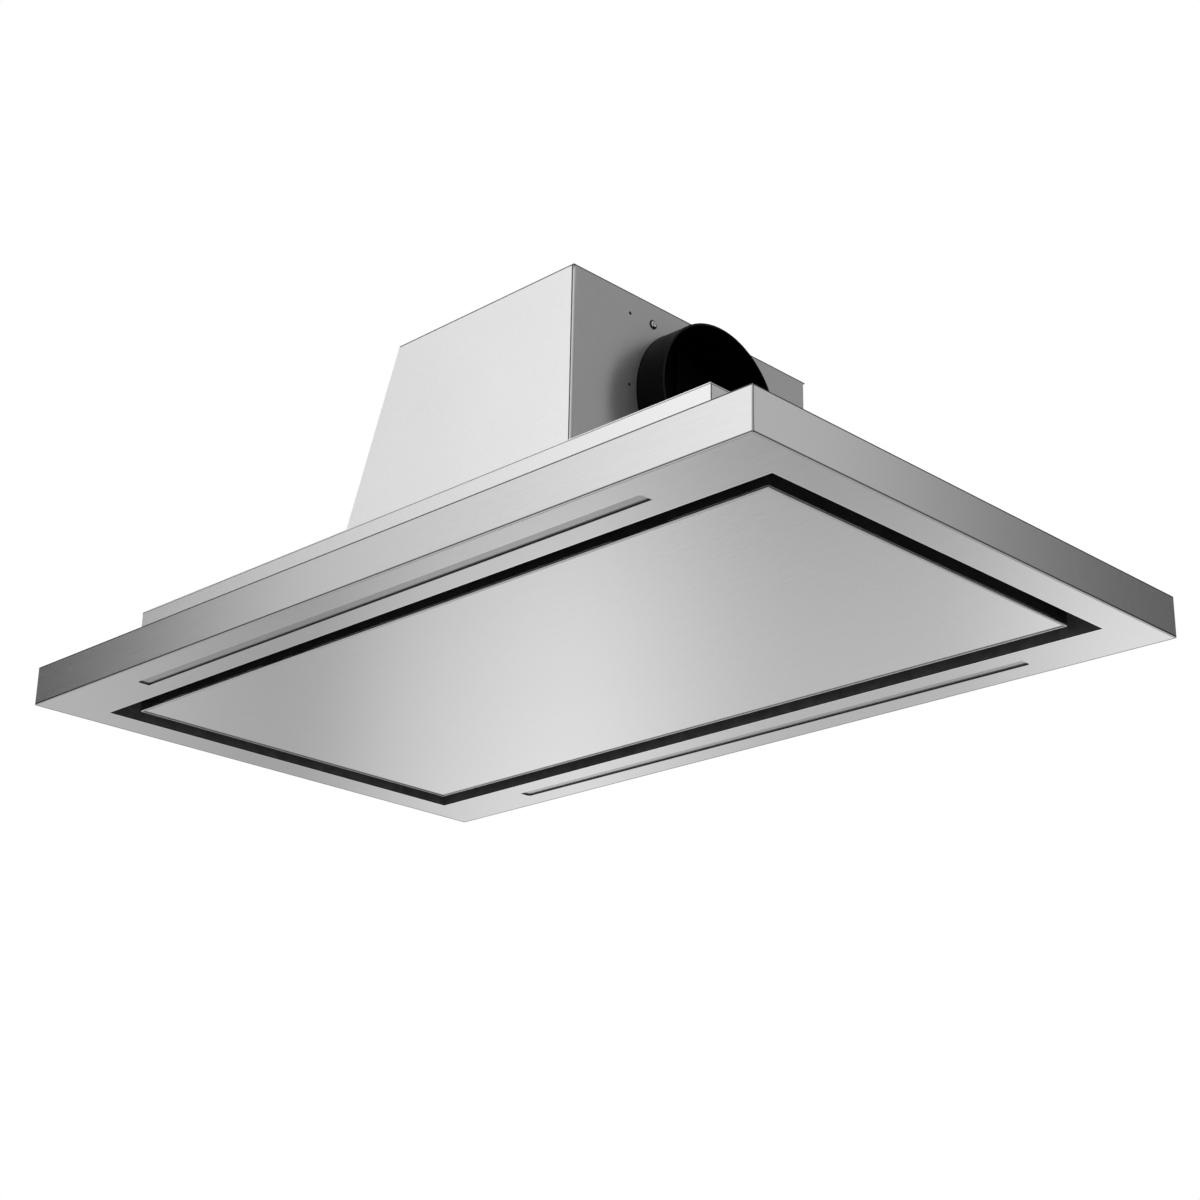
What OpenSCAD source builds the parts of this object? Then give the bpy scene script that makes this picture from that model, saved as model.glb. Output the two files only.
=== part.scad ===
// Ceiling range hood with a hinged perimeter-suction panel.
// Origin: the deck's top face, at the centre of the four ceiling rod holes. +X along the canopy
// towards the duct outlet, +Y towards the panel's hinges, +Z up to the ceiling.

/* [Canopy] */
// Length of the canopy along X
canopy_l = 1200; // [1120:10:1400]
// Width of the canopy along Y
canopy_w = 740; // [700:10:840]
// Height of the fascia
fascia_h = 50; // [46:1:70]
// Thickness of the stainless and galvanised sheet
sheet_t = 1; // [0.8:0.1:1.2]
// Outer radius of the fascia's vertical corners
fascia_corner_r = 2; // [1.5:0.5:4]
// Width of the fascia's top return
fascia_return_w = 20; // [12:1:30]
// Width of the bottom flange at the two ends of the opening
flange_end_w = 46; // [40:1:60]
// Width of the bottom flange along the two long sides of the opening
flange_side_w = 82; // [76:1:96]
// Height of the bottom flange's upturned rim
flange_rim_h = 15; // [8:1:25]
// Outer radius of the sheet bends
bend_r = 1.5; // [1.3:0.1:3]
// Width of the flanges on the black frame round the opening
frame_flange_w = 14; // [10:1:16]

/* [Light strips] */
// Length of each light slot
slot_l = 850; // [600:10:960]
// Width of each light slot
slot_w = 17; // [12:1:20]
// Distance of the slot from the canopy's long edge
slot_inset = 35; // [30:1:42]
// Radius of the slot's outer corners
slot_corner_r = 4; // [2:0.5:6]
// Depth of the diffuser above the flange's lower face
diffuser_recess = 2; // [1.5:0.5:5]
// Thickness of the diffuser
diffuser_t = 2; // [1.5:0.5:3]
// Height of the light housing
light_housing_h = 14; // [12:1:20]
// Number of light chips on each board
chip_count = 34; // [10:2:40]

/* [Perimeter panel] */
// Gap between opening and panel at the ends
gap_end = 28; // [20:1:32]
// Gap between opening and panel along the long sides
gap_side = 27.5; // [26:0.5:32]
// Height of the panel's face above the flange's lower face
panel_raise = 2; // [0:0.5:4]
// Height of the face sheet's steel edge
panel_edge_h = 3; // [2.5:0.5:8]
// Whole thickness of the panel
panel_t = 18; // [14:1:20]

/* [Plenum] */
// Distance of the plenum from the canopy's ends
plenum_inset_end = 116; // [90:1:130]
// Distance of the plenum from the canopy's long sides
plenum_inset_side = 72; // [60:1:78]
// Height of the plenum above the fascia
plenum_h = 67; // [62:1:100]
// Width of the open seam at the plenum's corners
plenum_seam = 1; // [1:0.5:4]
// Width of the plenum walls' flanges
plenum_flange_w = 15; // [10:1:15]
// Distance of the ceiling rods from the plenum's ends
hanger_end_inset = 44; // [43:1:60]
// Distance of the ceiling rods from the plenum's long sides
hanger_side_inset = 43; // [42:1:60]
// Width and length of a hanger bracket
hanger_w = 50; // [40:1:50]
// Thickness of a hanger bracket
hanger_t = 3; // [2:0.5:4]
// Height of a hanger bracket's stiffening leg
hanger_leg_h = 19; // [10:1:24]
// Radius of the ceiling rod holes
hanger_hole_r = 4.5; // [3.5:0.5:6.5]

/* [Filters] */
// Number of grease filters side by side
filter_count = 3; // [3:1:3]
// Thickness of a filter frame
filter_t = 12; // [10:1:14]
// Gap between neighbouring filters
filter_gap = 3; // [2:0.5:6]
// Width of a filter's side bars
filter_bar_w = 18; // [14:1:24]
// Width of a filter's front bar, which holds the latch
filter_front_w = 32; // [30:1:40]
// Thickness of the filter mesh
filter_mesh_t = 8; // [5:0.5:8]
// Depth of the groove that holds the mesh
filter_groove = 5; // [3:0.5:6]
// Depth of the front rail's ledge
rail_front_w = 11; // [9:1:14]
// Depth of the rear rail's ledge
rail_rear_w = 21; // [16:1:26]
// Distance from the deck down to the filter rails
rail_drop = 31; // [28:1:32]

/* [Filter latch] */
// Width of the latch slide
latch_w = 44; // [30:1:56]
// Length of the latch slide
latch_l = 19; // [16:1:20]
// Height of the latch slide
latch_h = 7.4; // [7:0.2:8]
// Travel of the latch
latch_travel = 8; // [6:0.5:9]
// Height of the finger tab
latch_tab_h = 11; // [8:0.5:12]
// Thickness of the finger tab
latch_tab_t = 3; // [2:0.5:4]
// Outer radius of the latch spring
spring_r = 2.6; // [2:0.1:2.6]
// Wire radius of the latch spring
spring_wire_r = 0.4; // [0.3:0.05:0.5]
// Turns of the latch spring
spring_turns = 6; // [4:1:7]

/* [Motor box] */
// Length of the motor box's top
box_top_l = 305; // [295:5:330]
// Length of the motor box at its foot
box_foot_l = 411; // [400:1:440]
// Width of the motor box
box_w = 416; // [400:2:440]
// Height of the motor box
box_h = 283; // [276:1:320]
// X of the motor box's outlet face
box_end_x = 195; // [180:1:210]
// Thickness of the lid
lid_t = 1.2; // [1:0.1:2]
// Outer radius of the outlet panel's bends
outlet_bend_r = 3; // [2:0.5:5]
// Length of the motor box's inner returns
box_return_w = 12; // [8:1:16]
// Width of the flanges at the foot and top of the motor box's long sides
box_flange_w = 20; // [16:1:24]

/* [Duct outlet] */
// Outer radius of the duct collar
collar_r = 101.5; // [96:0.5:102.5]
// Wall of the duct collar
collar_wall = 2.5; // [2:0.25:3.5]
// Length of the collar outside the motor box
collar_out = 42; // [34:1:60]
// Length of the collar inside the motor box
collar_in = 43; // [40:1:46]
// Step from the collar's outside down to its root and inner sleeve
collar_step = 0.75; // [0.5:0.25:1]
// Length of the collar's stepped root outside the motor box
collar_root_l = 1.5; // [1.5:0.25:4]
// Gap between the collar's top and the lid
collar_top_gap = 18.5; // [17:0.5:26]
// Thickness of the collar's inner flange
collar_flange_t = 2.5; // [2:0.25:3.5]
// Half width of the collar's inner flange
collar_flange_hw = 122; // [118:1:126]
// Half height of the collar's inner flange
collar_flange_hh = 98; // [96.5:0.5:98]
// Half spacing of the collar screws along Y
collar_screw_y = 74.3; // [70:0.1:80]
// Half spacing of the collar screws along Z
collar_screw_z = 92.8; // [90:0.1:93]
// Half spacing of the spare holes along Y
spare_hole_y = 113.5; // [110:0.5:116]
// Radius of the spare holes
spare_hole_r = 2.1; // [1.5:0.1:2.5]

/* [Damper] */
// Distance of the damper pin from the collar's inner end
pin_inset = 14; // [12:0.5:18]
// Radius of the damper pin
pin_r = 2.5; // [2:0.25:3]
// Height of the stop rib inside the collar
stop_h = 3; // [2.5:0.25:4]
// Gap between a flap's rim and the collar
flap_gap = 2; // [1:0.25:2]
// Thickness of a damper flap
flap_t = 1.5; // [1:0.25:2]
// Outer radius of a flap's knuckles
knuckle_r = 4.5; // [4:0.25:5]
// Half length of the rear flap's middle knuckle
knuckle_mid = 30; // [20:1:40]
// Length of each of the front flap's knuckles
knuckle_end_l = 48; // [36:1:50]

/* [Blower] */
// Height of the scroll between its plates
scroll_h = 178; // [170:1:184]
// Least length of the adapter between the scroll and the collar
adapter_l = 30; // [24:1:40]
// Growth of the scroll's radius in a quarter turn
scroll_step = 14; // [12:1:15]
// Gap between fan and scroll at the tongue
tongue_gap = 8; // [6:0.5:10]
// Drop of the tongue below the fan's axis
tongue_drop = 33; // [30:1:36]
// Straight length of the scroll's outlet past the tongue
scroll_neck = 8; // [5:1:12]
// Wall of the scroll
scroll_wall = 1.5; // [1:0.1:2]
// Gap between the scroll and the motor box's walls
scroll_gap = 6; // [4:0.5:8]
// Radial depth of the fan blades
blade_depth = 18; // [14:1:20]
// Thickness of a fan blade
blade_t = 1; // [0.8:0.1:1.2]
// Number of fan blades
blade_count = 36; // [24:1:40]
// Axial gap between fan and scroll plates
fan_gap = 8; // [6:0.5:10]
// Share of the fan's radius that the motor takes
motor_share = 0.575; // [0.5:0.005:0.6]
// Height of the motor below the scroll's top plate
motor_h = 76; // [60:1:80]
// Height of the motor's cap above the scroll's top plate
motor_cap_h = 14; // [10:1:16]
// Inset of the motor's cap from its side
motor_cap_inset = 7; // [6:0.5:14]
// Thickness of the motor's end above its bore
motor_end_t = 4; // [3:0.5:5]
// Width of the motor's mounting flange
motor_flange_w = 16; // [13:0.5:20]
// Thickness of the motor's mounting flange
motor_flange_t = 1.5; // [1.5:0.25:2.5]
// Gap between the motor and the fan's cup
cup_gap = 6; // [4:0.5:8]
// Thickness of the fan's plates
fan_plate_t = 2; // [1.5:0.25:2.5]
// Radius of the motor shaft
shaft_r = 5; // [4:0.5:6]
// Distance from the scroll's eye out to the deck's air inlet
deck_inlet_gap = 9.5; // [4:0.5:12]
// Thickness of a rubber mount
mount_h = 8; // [6:1:12]
// Radius of a rubber mount
mount_r = 9; // [8:0.5:10]
// Width of a blower foot
foot_w = 24; // [18:1:26]

/* [Control box] */
// Length of the control box
control_l = 170; // [150:5:175]
// Width of the control box
control_w = 200; // [160:5:240]
// Height of the control box
control_h = 60; // [52:1:80]
// Distance of the control box from the plenum's end
control_margin = 20; // [16:1:30]
// Radius of the motor lead
lead_r = 4; // [3:0.25:4.5]
// Radius of the supply cable hole in the gland
gland_bore_r = 4.5; // [3:0.25:5]
// Length of the gland outside the box
gland_l = 22; // [18:1:30]
// Radius of the run capacitor
capacitor_r = 14; // [12:0.5:16]
// Length of the run capacitor
capacitor_l = 70; // [60:1:80]

/* [Panel hinges and catches] */
// Distance of each hinge from the middle
hinge_x = 380; // [300:5:400]
// Distance of the hinge axis in from the panel's rear edge
hinge_in = 7; // [6:0.5:9]
// Height of the hinge axis above the panel
hinge_up = 11; // [10:0.5:12]
// Radius of the hinge knuckles
hinge_r = 6.5; // [6:0.25:7]
// Radius of the hinge pins
hinge_pin_r = 3; // [2.5:0.25:4]
// Thickness of a hinge ear
hinge_ear_t = 2.5; // [2:0.25:3]
// Width of a hinge arm
hinge_arm_w = 22; // [16:1:30]
// Length of a hinge arm's foot
hinge_foot_l = 60; // [40:1:80]
// Distance of each magnetic catch from the middle
catch_x = 300; // [200:5:420]
// Length of a magnetic catch
catch_l = 40; // [30:1:50]
// Depth of a magnetic catch
catch_w = 16; // [12:1:18]
// Height of a magnet
magnet_h = 6; // [4:0.5:8]
// Thickness of the catch and hinge brackets
bracket_t = 2; // [1.5:0.25:2.5]

/* [Screws and clearances] */
// Radius of a screw's head
screw_head_r = 4; // [3.5:0.25:4.5]
// Height of a screw's head
screw_head_h = 2.4; // [2:0.1:3]
// Radius of a screw's shank
screw_r = 2; // [1.5:0.1:2.25]
// Clearance between pieces that only meet
seat_gap = 0.3; // [0.2:0.05:0.4]
// Radial clearance of pins and shafts
run_gap = 0.08; // [0.05:0.01:0.1]
// Clearance of a fixed pin in its bore
pin_gap = 0.04; // [0.02:0.01:0.05]

/* [Hidden] */
$fn = 64;
// Overrun of the cuts past the faces that they open
over = 2;
// Heights, down from the deck's top face
z_deck = -sheet_t;
z_fascia_top = -plenum_h;
z_bottom = -plenum_h - fascia_h;
z_ctop = z_fascia_top - 2 * sheet_t;
// Bottom flange and opening
flange_l = canopy_l - 2 * sheet_t - 2 * seat_gap;
flange_w = canopy_w - 2 * sheet_t - 2 * seat_gap;
opening_l = canopy_l - 2 * flange_end_w;
opening_w = canopy_w - 2 * flange_side_w;
slot_y = canopy_w / 2 - slot_inset - slot_w;
// Light strips
light_wall = 1.2;
light_board_t = 1.2;
chip_w = 3;
chip_h = 1;
chip_pitch = (slot_l - 2 * slot_w) / chip_count;
// Panel
panel_l = opening_l - 2 * gap_end;
panel_w = opening_w - 2 * gap_side;
z_face = z_bottom + panel_raise;
z_tray = z_face + panel_edge_h;
z_panel_top = z_face + panel_t;
// Plenum
plenum_l = canopy_l - 2 * plenum_inset_end;
plenum_w = canopy_w - 2 * plenum_inset_side;
plenum_in_l = plenum_l - 2 * sheet_t;
plenum_in_w = plenum_w - 2 * sheet_t;
hanger_x = plenum_l / 2 - hanger_end_inset;
hanger_y = plenum_w / 2 - hanger_side_inset;
// Filters
rail_h = filter_t + 2 * sheet_t + 2 * seat_gap;
z_rail_top = -rail_drop;
z_rail = z_rail_top - rail_h;
z_filter = z_rail + sheet_t + seat_gap;
filter_pitch = plenum_in_l / filter_count;
filter_w = filter_pitch - filter_gap;
front_ledge_y = -plenum_in_w / 2 + rail_front_w;
filter_y0 = front_ledge_y + 3 * seat_gap + sheet_t;
filter_y1 = plenum_in_w / 2 - sheet_t - rail_rear_w / 4;
mesh_x = filter_w - 2 * filter_bar_w;
mesh_y0 = filter_y0 + filter_front_w;
mesh_y1 = filter_y1 - filter_bar_w;
// Latch: the slide's tongue lies over the front rail's ledge, its rear part on the pocket's floor
latch_y0 = filter_y0 - latch_travel;
latch_y1 = latch_y0 + latch_l;
latch_tab_w = 0.7 * latch_w;
latch_tab_y = filter_y0 + latch_tab_t / 2;
pocket_y1 = filter_y0 + filter_front_w - filter_groove - sheet_t;
pocket_h = latch_h + seat_gap;
pocket_floor_y = filter_y0 + latch_travel + seat_gap;
z_pocket_floor = z_filter + sheet_t;
spring_l = pocket_y1 - latch_y1;
spring_z = (z_pocket_floor + z_filter + pocket_h) / 2;
// Motor box
box_slope = (box_foot_l - box_top_l) / box_h;
slope_t = sheet_t * sqrt(1 + box_slope * box_slope);
wall_h = box_h - lid_t - seat_gap;
box_side_end = box_end_x - outlet_bend_r;
box_in_y = box_w / 2 - sheet_t - seat_gap;
// Duct collar and damper
collar_z = box_h - collar_top_gap - collar_r;
collar_in_r = collar_r - collar_wall;
collar_root_r = collar_r - collar_step;
collar_x0 = box_end_x - collar_in;
collar_x1 = box_end_x + collar_out;
collar_flange_x = box_end_x - sheet_t - seat_gap;
pin_x = collar_x0 + pin_inset;
flap_x = pin_x - knuckle_r + seat_gap;
flap_r = collar_in_r - flap_gap;
// Scroll: quarter arcs about the corners of a small square round the axis. It fills the motor box
// to its sides or from its slope to the adapter, whichever leaves less room.
z_scroll_top = box_h - lid_t - motor_cap_h - 2 * scroll_gap;
z_scroll_mid = z_scroll_top - scroll_h / 2;
z_scroll = z_scroll_top - scroll_h;
slope_x = box_end_x - box_foot_l + box_slope * z_scroll_top + slope_t;
scroll_in_w = box_in_y - scroll_gap - scroll_wall;
scroll_in_l = collar_x0 - adapter_l - scroll_neck - slope_x - scroll_gap - scroll_wall;
arc1_r = min((scroll_in_w - 1.75 * scroll_step - tongue_drop / 2) / 1.5, (scroll_in_l - scroll_step) / 2);
arc2_r = arc1_r + scroll_step;
arc3_r = arc2_r + scroll_step;
fan_r = arc1_r - tongue_gap - scroll_step / 2;
axis_y = (scroll_step / 2 + arc3_r + tongue_drop) / 2;
axis_x = slope_x + scroll_gap + scroll_wall + arc2_r + scroll_step / 2;
tongue_x = sqrt(arc1_r * arc1_r - pow(tongue_drop + scroll_step / 2, 2)) - scroll_step / 2;
scroll_end = axis_x + tongue_x + scroll_neck;
outlet_y0 = axis_y - scroll_step / 2 - arc3_r;
outlet_y1 = axis_y - tongue_drop;
eye_r = fan_r - blade_depth - sheet_t - 3 * seat_gap;
deck_inlet_r = eye_r + deck_inlet_gap;
// Fan
z_fan = z_scroll + sheet_t + fan_gap;
z_fan_top = z_scroll_top - fan_gap;
motor_r = motor_share * fan_r;
cup_r = motor_r + cup_gap;
motor_flange_r = motor_r + motor_flange_w;
motor_cap_r = motor_r - motor_cap_inset;
z_cup = z_scroll_top - motor_h - cup_gap;
hub_r = 3 * shaft_r;
shaft_end = z_cup - 2 * shaft_r;
z_shaft_top = z_scroll_top + motor_cap_h - 2 * motor_end_t;
nut_h = shaft_r;
nut_r = 1.7 * shaft_r;
// Blower feet stand on the deck round the inlet
foot_ring_r = deck_inlet_r + mount_r + sheet_t;
foot_t = 1.5;
foot_angles = [50, 140, 228, 300];
// Control box
control_x0 = -plenum_l / 2 + control_margin;
control_x1 = control_x0 + control_l;
board_t = 1.6;
board_post_h = 8;
board_cell = control_l / 19;
gland_r = 2.2 * gland_bore_r;
gland_neck_r = 2 * gland_bore_r;
gland_nut_l = gland_l / 3;
lead_z = control_h / 2;
// Hinges and catches
hinge_y = panel_w / 2 - hinge_in;
hinge_z = z_panel_top + hinge_up;
frame_y = opening_w / 2;
z_bracket = z_ctop - sheet_t;
ear_rise = hinge_in + hinge_ear_t / 2;

// Block between two opposite corners
module block(lo, hi) {
    translate(lo) cube(hi - lo);
}

// Rectangle with round corners, centred
module round_rect(l, w, r) {
    square([l - 2 * r, w], center = true);
    square([l, w - 2 * r], center = true);
    for (sx = [-1, 1], sy = [-1, 1]) translate([sx * (l / 2 - r), sy * (w / 2 - r)]) circle(r);
}

// Upright profile with its two lower corners rounded, standing on the X axis
module tray_profile(w, h, r) {
    translate([-w / 2, r]) square([w, h - r]);
    translate([-w / 2 + r, 0]) square([w - 2 * r, h]);
    for (s = [-1, 1]) translate([s * (w / 2 - r), r]) circle(r);
}

// Block whose four lower edges are rounded
module tray_block(l, w, h, r) {
    intersection() {
        rotate([90, 0, 0]) translate([0, 0, -w / 2]) linear_extrude(w) tray_profile(l, h, r);
        rotate([90, 0, 90]) translate([0, 0, -l / 2]) linear_extrude(l) tray_profile(w, h, r);
    }
}

// Folded sheet tray, open at the top, standing at height z
module sheet_tray(l, w, h, z) {
    translate([0, 0, z]) difference() {
        tray_block(l, w, h, bend_r);
        translate([0, 0, sheet_t])
            tray_block(l - 2 * sheet_t, w - 2 * sheet_t, h + over, bend_r - sheet_t);
    }
}

// Rectangular sheet ring between heights z0 and z1
module ring(out_l, out_w, in_l, in_w, z0, z1) {
    difference() {
        block([-out_l / 2, -out_w / 2, z0], [out_l / 2, out_w / 2, z1]);
        block([-in_l / 2, -in_w / 2, z0 - over], [in_l / 2, in_w / 2, z1 + over]);
    }
}

// Light slot on the +Y side: square inner corners, round outer corners
module slot_shape(grow) {
    l = slot_l + 2 * grow;
    w = slot_w + 2 * grow;
    translate([-l / 2, slot_y - grow]) square([l, w - slot_corner_r]);
    translate([-l / 2 + slot_corner_r, slot_y - grow]) square([l - 2 * slot_corner_r, w]);
    for (s = [-1, 1])
        translate([s * (l / 2 - slot_corner_r), slot_y + slot_w + grow - slot_corner_r])
            circle(slot_corner_r);
}

// The same shape on both long sides
module both_sides() {
    children();
    mirror([0, 1, 0]) children();
}

// The same shape at both ends
module both_ends() {
    children();
    mirror([1, 0, 0]) children();
}

module bottom_flange() {
    color("silver") difference() {
        sheet_tray(flange_l, flange_w, flange_rim_h, z_bottom);
        block([-opening_l / 2, -opening_w / 2, z_bottom - over],
              [opening_l / 2, opening_w / 2, z_bottom + over]);
        both_sides() translate([0, 0, z_bottom - over]) linear_extrude(2 * over) slot_shape(0);
    }
}

// The whole fascia before its corners are mitred
module fascia_ring() {
    difference() {
        translate([0, 0, z_bottom]) linear_extrude(fascia_h) round_rect(canopy_l, canopy_w, fascia_corner_r);
        translate([0, 0, z_bottom - over]) linear_extrude(fascia_h + over - sheet_t)
            round_rect(canopy_l - 2 * sheet_t, canopy_w - 2 * sheet_t, fascia_corner_r - sheet_t);
        block([-canopy_l / 2 + fascia_return_w, -canopy_w / 2 + fascia_return_w, z_bottom],
              [canopy_l / 2 - fascia_return_w, canopy_w / 2 - fascia_return_w, over]);
    }
}

// Mitred wedge of one long side (+Y)
module long_wedge() {
    translate([0, 0, z_bottom - over]) linear_extrude(fascia_h + 2 * over) polygon([
        [-canopy_l / 2 - over, canopy_w / 2 + over], [canopy_l / 2 + over, canopy_w / 2 + over],
        [canopy_l / 2 - canopy_w / 2, 0], [-canopy_l / 2 + canopy_w / 2, 0]]);
}

// Mitred wedge of one end (+X)
module end_wedge() {
    translate([0, 0, z_bottom - over]) linear_extrude(fascia_h + 2 * over) polygon([
        [canopy_l / 2 + over, -canopy_w / 2 - over], [canopy_l / 2 + over, canopy_w / 2 + over],
        [canopy_l / 2 - canopy_w / 2, 0]]);
}

module rear_fascia() {
    color("silver") intersection() {
        fascia_ring();
        long_wedge();
    }
}

module front_fascia() {
    mirror([0, 1, 0]) rear_fascia();
}

module right_fascia() {
    color("silver") intersection() {
        fascia_ring();
        end_wedge();
    }
}

module left_fascia() {
    mirror([1, 0, 0]) right_fascia();
}

module canopy_top() {
    color("lightgrey")
        ring(flange_l, flange_w, plenum_in_l, opening_w + 2 * sheet_t, z_ctop, z_ctop + sheet_t);
}

module inlet_frame() {
    wall = 2 * sheet_t;
    flange = wall + 2 * frame_flange_w;
    z0 = z_bottom + sheet_t;
    color([0.08, 0.08, 0.09]) {
        ring(opening_l + wall, opening_w + wall, opening_l, opening_w, z0, z_ctop);
        for (z = [z0, z_ctop - sheet_t])
            ring(opening_l + flange, opening_w + flange, opening_l, opening_w, z, z + sheet_t);
    }
}

// Long plenum wall on the +Y side, with a foot flange outwards and a top flange inwards
module plenum_long() {
    y = plenum_w / 2;
    color("silver") {
        block([-plenum_l / 2, y - sheet_t, z_ctop + sheet_t], [plenum_l / 2, y, z_deck]);
        block([-plenum_l / 2, y - sheet_t, z_ctop + sheet_t],
              [plenum_l / 2, y + plenum_flange_w, z_fascia_top]);
        block([-plenum_in_l / 2, y - sheet_t - plenum_flange_w, z_deck - sheet_t],
              [plenum_in_l / 2, y, z_deck]);
    }
}

module plenum_rear() {
    plenum_long();
}

module plenum_front() {
    mirror([0, 1, 0]) plenum_long();
}

// Plenum end wall on the +X side; it stops short of the long walls at an open seam
module plenum_right() {
    x = plenum_l / 2;
    y = plenum_in_w / 2 - plenum_seam;
    color("silver") {
        block([x - sheet_t, -y, z_ctop + sheet_t], [x, y, z_deck]);
        block([x - sheet_t, -y, z_ctop + sheet_t], [x + plenum_flange_w, y, z_fascia_top]);
        block([x - sheet_t - plenum_flange_w, -y + plenum_flange_w, z_deck - sheet_t],
              [x, y - plenum_flange_w, z_deck]);
    }
}

module plenum_left() {
    mirror([1, 0, 0]) plenum_right();
}

// Places of the four ceiling rods
module at_hangers() {
    both_ends() both_sides() translate([hanger_x, hanger_y, 0]) children();
}

module plenum_deck() {
    color("gainsboro") difference() {
        block([-plenum_l / 2, -plenum_w / 2, z_deck], [plenum_l / 2, plenum_w / 2, 0]);
        at_hangers() translate([0, 0, z_deck - over]) cylinder(h = sheet_t + 2 * over, r = hanger_hole_r);
        translate([axis_x, axis_y, z_deck - over]) cylinder(h = sheet_t + 2 * over, r = deck_inlet_r);
    }
}

module hanger_brackets() {
    half = hanger_w / 2;
    color("lightslategray") at_hangers() difference() {
        union() {
            block([-half, -half, z_deck - hanger_t], [half, half, z_deck]);
            block([-half, -half, z_deck - hanger_leg_h], [half, -half + hanger_t, z_deck]);
        }
        translate([0, 0, z_deck - hanger_t - over])
            cylinder(h = hanger_t + 2 * over, r = hanger_hole_r);
    }
}

// U-shaped rail on a long plenum wall, with ledges w deep
module rail(w) {
    y = plenum_in_w / 2;
    x = plenum_in_l / 2 - seat_gap;
    block([-x, y - sheet_t, z_rail], [x, y, z_rail_top]);
    for (z = [z_rail, z_rail_top - sheet_t]) block([-x, y - w, z], [x, y, z + sheet_t]);
}

module filter_rails() {
    color("lightgrey") {
        rail(rail_rear_w);
        mirror([0, 1, 0]) rail(rail_front_w);
    }
}

// X of one filter's middle
function filter_x(i) = (i - (filter_count + 1) / 2) * filter_pitch;

module grease_filter(i) {
    z_mid = z_filter + filter_t / 2;
    groove_h = filter_mesh_t + 2 * seat_gap;
    color("darkgrey") translate([filter_x(i), 0, 0]) difference() {
        block([-filter_w / 2, filter_y0, z_filter], [filter_w / 2, filter_y1, z_filter + filter_t]);
        block([-mesh_x / 2, mesh_y0, z_filter - over], [mesh_x / 2, mesh_y1, z_filter + filter_t + over]);
        block([-mesh_x / 2 - filter_groove, mesh_y0 - filter_groove, z_mid - groove_h / 2],
              [mesh_x / 2 + filter_groove, mesh_y1 + filter_groove, z_mid + groove_h / 2]);
        latch_pocket();
    }
}

// Pocket for the latch: open in front, and with a floor behind that the finger tab runs through
module latch_pocket() {
    half = latch_w / 2 + seat_gap;
    tab_half = latch_tab_w / 2 + seat_gap;
    block([-half, filter_y0 - over, z_pocket_floor], [half, pocket_y1, z_filter + pocket_h]);
    block([-half, filter_y0 - over, z_filter - over], [half, pocket_floor_y, z_filter + pocket_h]);
    block([-tab_half, filter_y0 - over, z_filter - over],
          [tab_half, latch_tab_y + latch_tab_t + latch_travel + seat_gap, z_filter + pocket_h]);
}

module filter_meshes() {
    z_mid = z_filter + filter_t / 2;
    reach = filter_groove - seat_gap;
    color("silver") for (i = [1:filter_count]) translate([filter_x(i), 0, 0])
        block([-mesh_x / 2 - reach, mesh_y0 - reach, z_mid - filter_mesh_t / 2],
              [mesh_x / 2 + reach, mesh_y1 + reach, z_mid + filter_mesh_t / 2]);
}

module filter_latch(i) {
    half = latch_w / 2;
    z1 = z_filter + latch_h;
    color([0.1, 0.1, 0.11]) translate([filter_x(i), 0, 0]) {
        block([-half, latch_y0, z_pocket_floor + seat_gap], [half, latch_y1, z1]);
        block([-half, latch_y0, z_filter], [half, filter_y0, z1]);
        difference() {
            block([-latch_tab_w / 2, latch_tab_y, z_filter - latch_tab_h],
                  [latch_tab_w / 2, latch_tab_y + latch_tab_t, z1]);
            translate([0, latch_tab_y - over, z_filter - latch_tab_h]) rotate([-90, 0, 0])
                cylinder(h = latch_tab_t + 2 * over, r = latch_tab_h / 3);
        }
    }
}

// Latch spring: a round wire swept along a helix about Y
spring_steps = 16;
spring_sides = 6;
spring_mean_r = spring_r - spring_wire_r;
spring_pitch = (spring_l - 2 * spring_wire_r - 2 * seat_gap) / spring_turns;
function helix_point(k, u) =
    let (a = 360 * k / spring_steps, b = 360 * u / spring_sides,
         r = spring_mean_r + spring_wire_r * cos(b))
    [r * cos(a), spring_pitch * k / spring_steps + spring_wire_r * sin(b), r * sin(a)];
spring_rings = spring_turns * spring_steps;
spring_points = [for (k = [0:spring_rings], u = [0:spring_sides - 1]) helix_point(k, u)];
spring_faces = concat(
    [[for (u = [0:spring_sides - 1]) u]],
    [for (k = [0:spring_rings - 1], u = [0:spring_sides - 1])
        let (a = k * spring_sides + u, b = k * spring_sides + (u + 1) % spring_sides)
        [a, a + spring_sides, b + spring_sides, b]],
    [[for (u = [spring_sides - 1:-1:0]) spring_rings * spring_sides + u]]);

module latch_spring(i) {
    color("dimgrey") translate([filter_x(i), latch_y1 + spring_wire_r + seat_gap, spring_z])
        polyhedron(points = spring_points, faces = spring_faces);
}

// Long side of the motor box on the +Y side
module box_long() {
    y = box_w / 2;
    foot_x = box_end_x - box_foot_l;
    top_x = foot_x + box_slope * wall_h;
    color("whitesmoke") {
        translate([0, y, 0]) rotate([90, 0, 0]) linear_extrude(sheet_t) polygon([
            [foot_x, 0], [box_side_end, 0], [box_side_end, wall_h], [top_x, wall_h]]);
        block([foot_x + 2 * box_return_w, y - box_flange_w, 0],
              [box_end_x - 3 * box_return_w, y - sheet_t / 2, sheet_t]);
        difference() {
            block([top_x + 2 * box_return_w, y - box_flange_w, wall_h - sheet_t],
                  [box_end_x - 3 * box_return_w, y - sheet_t / 2, wall_h]);
            at_lid_screws() cylinder(h = lid_t + 4 * over, r = screw_r + run_gap, center = true);
        }
    }
}

module motor_box_rear() {
    box_long();
}

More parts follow.
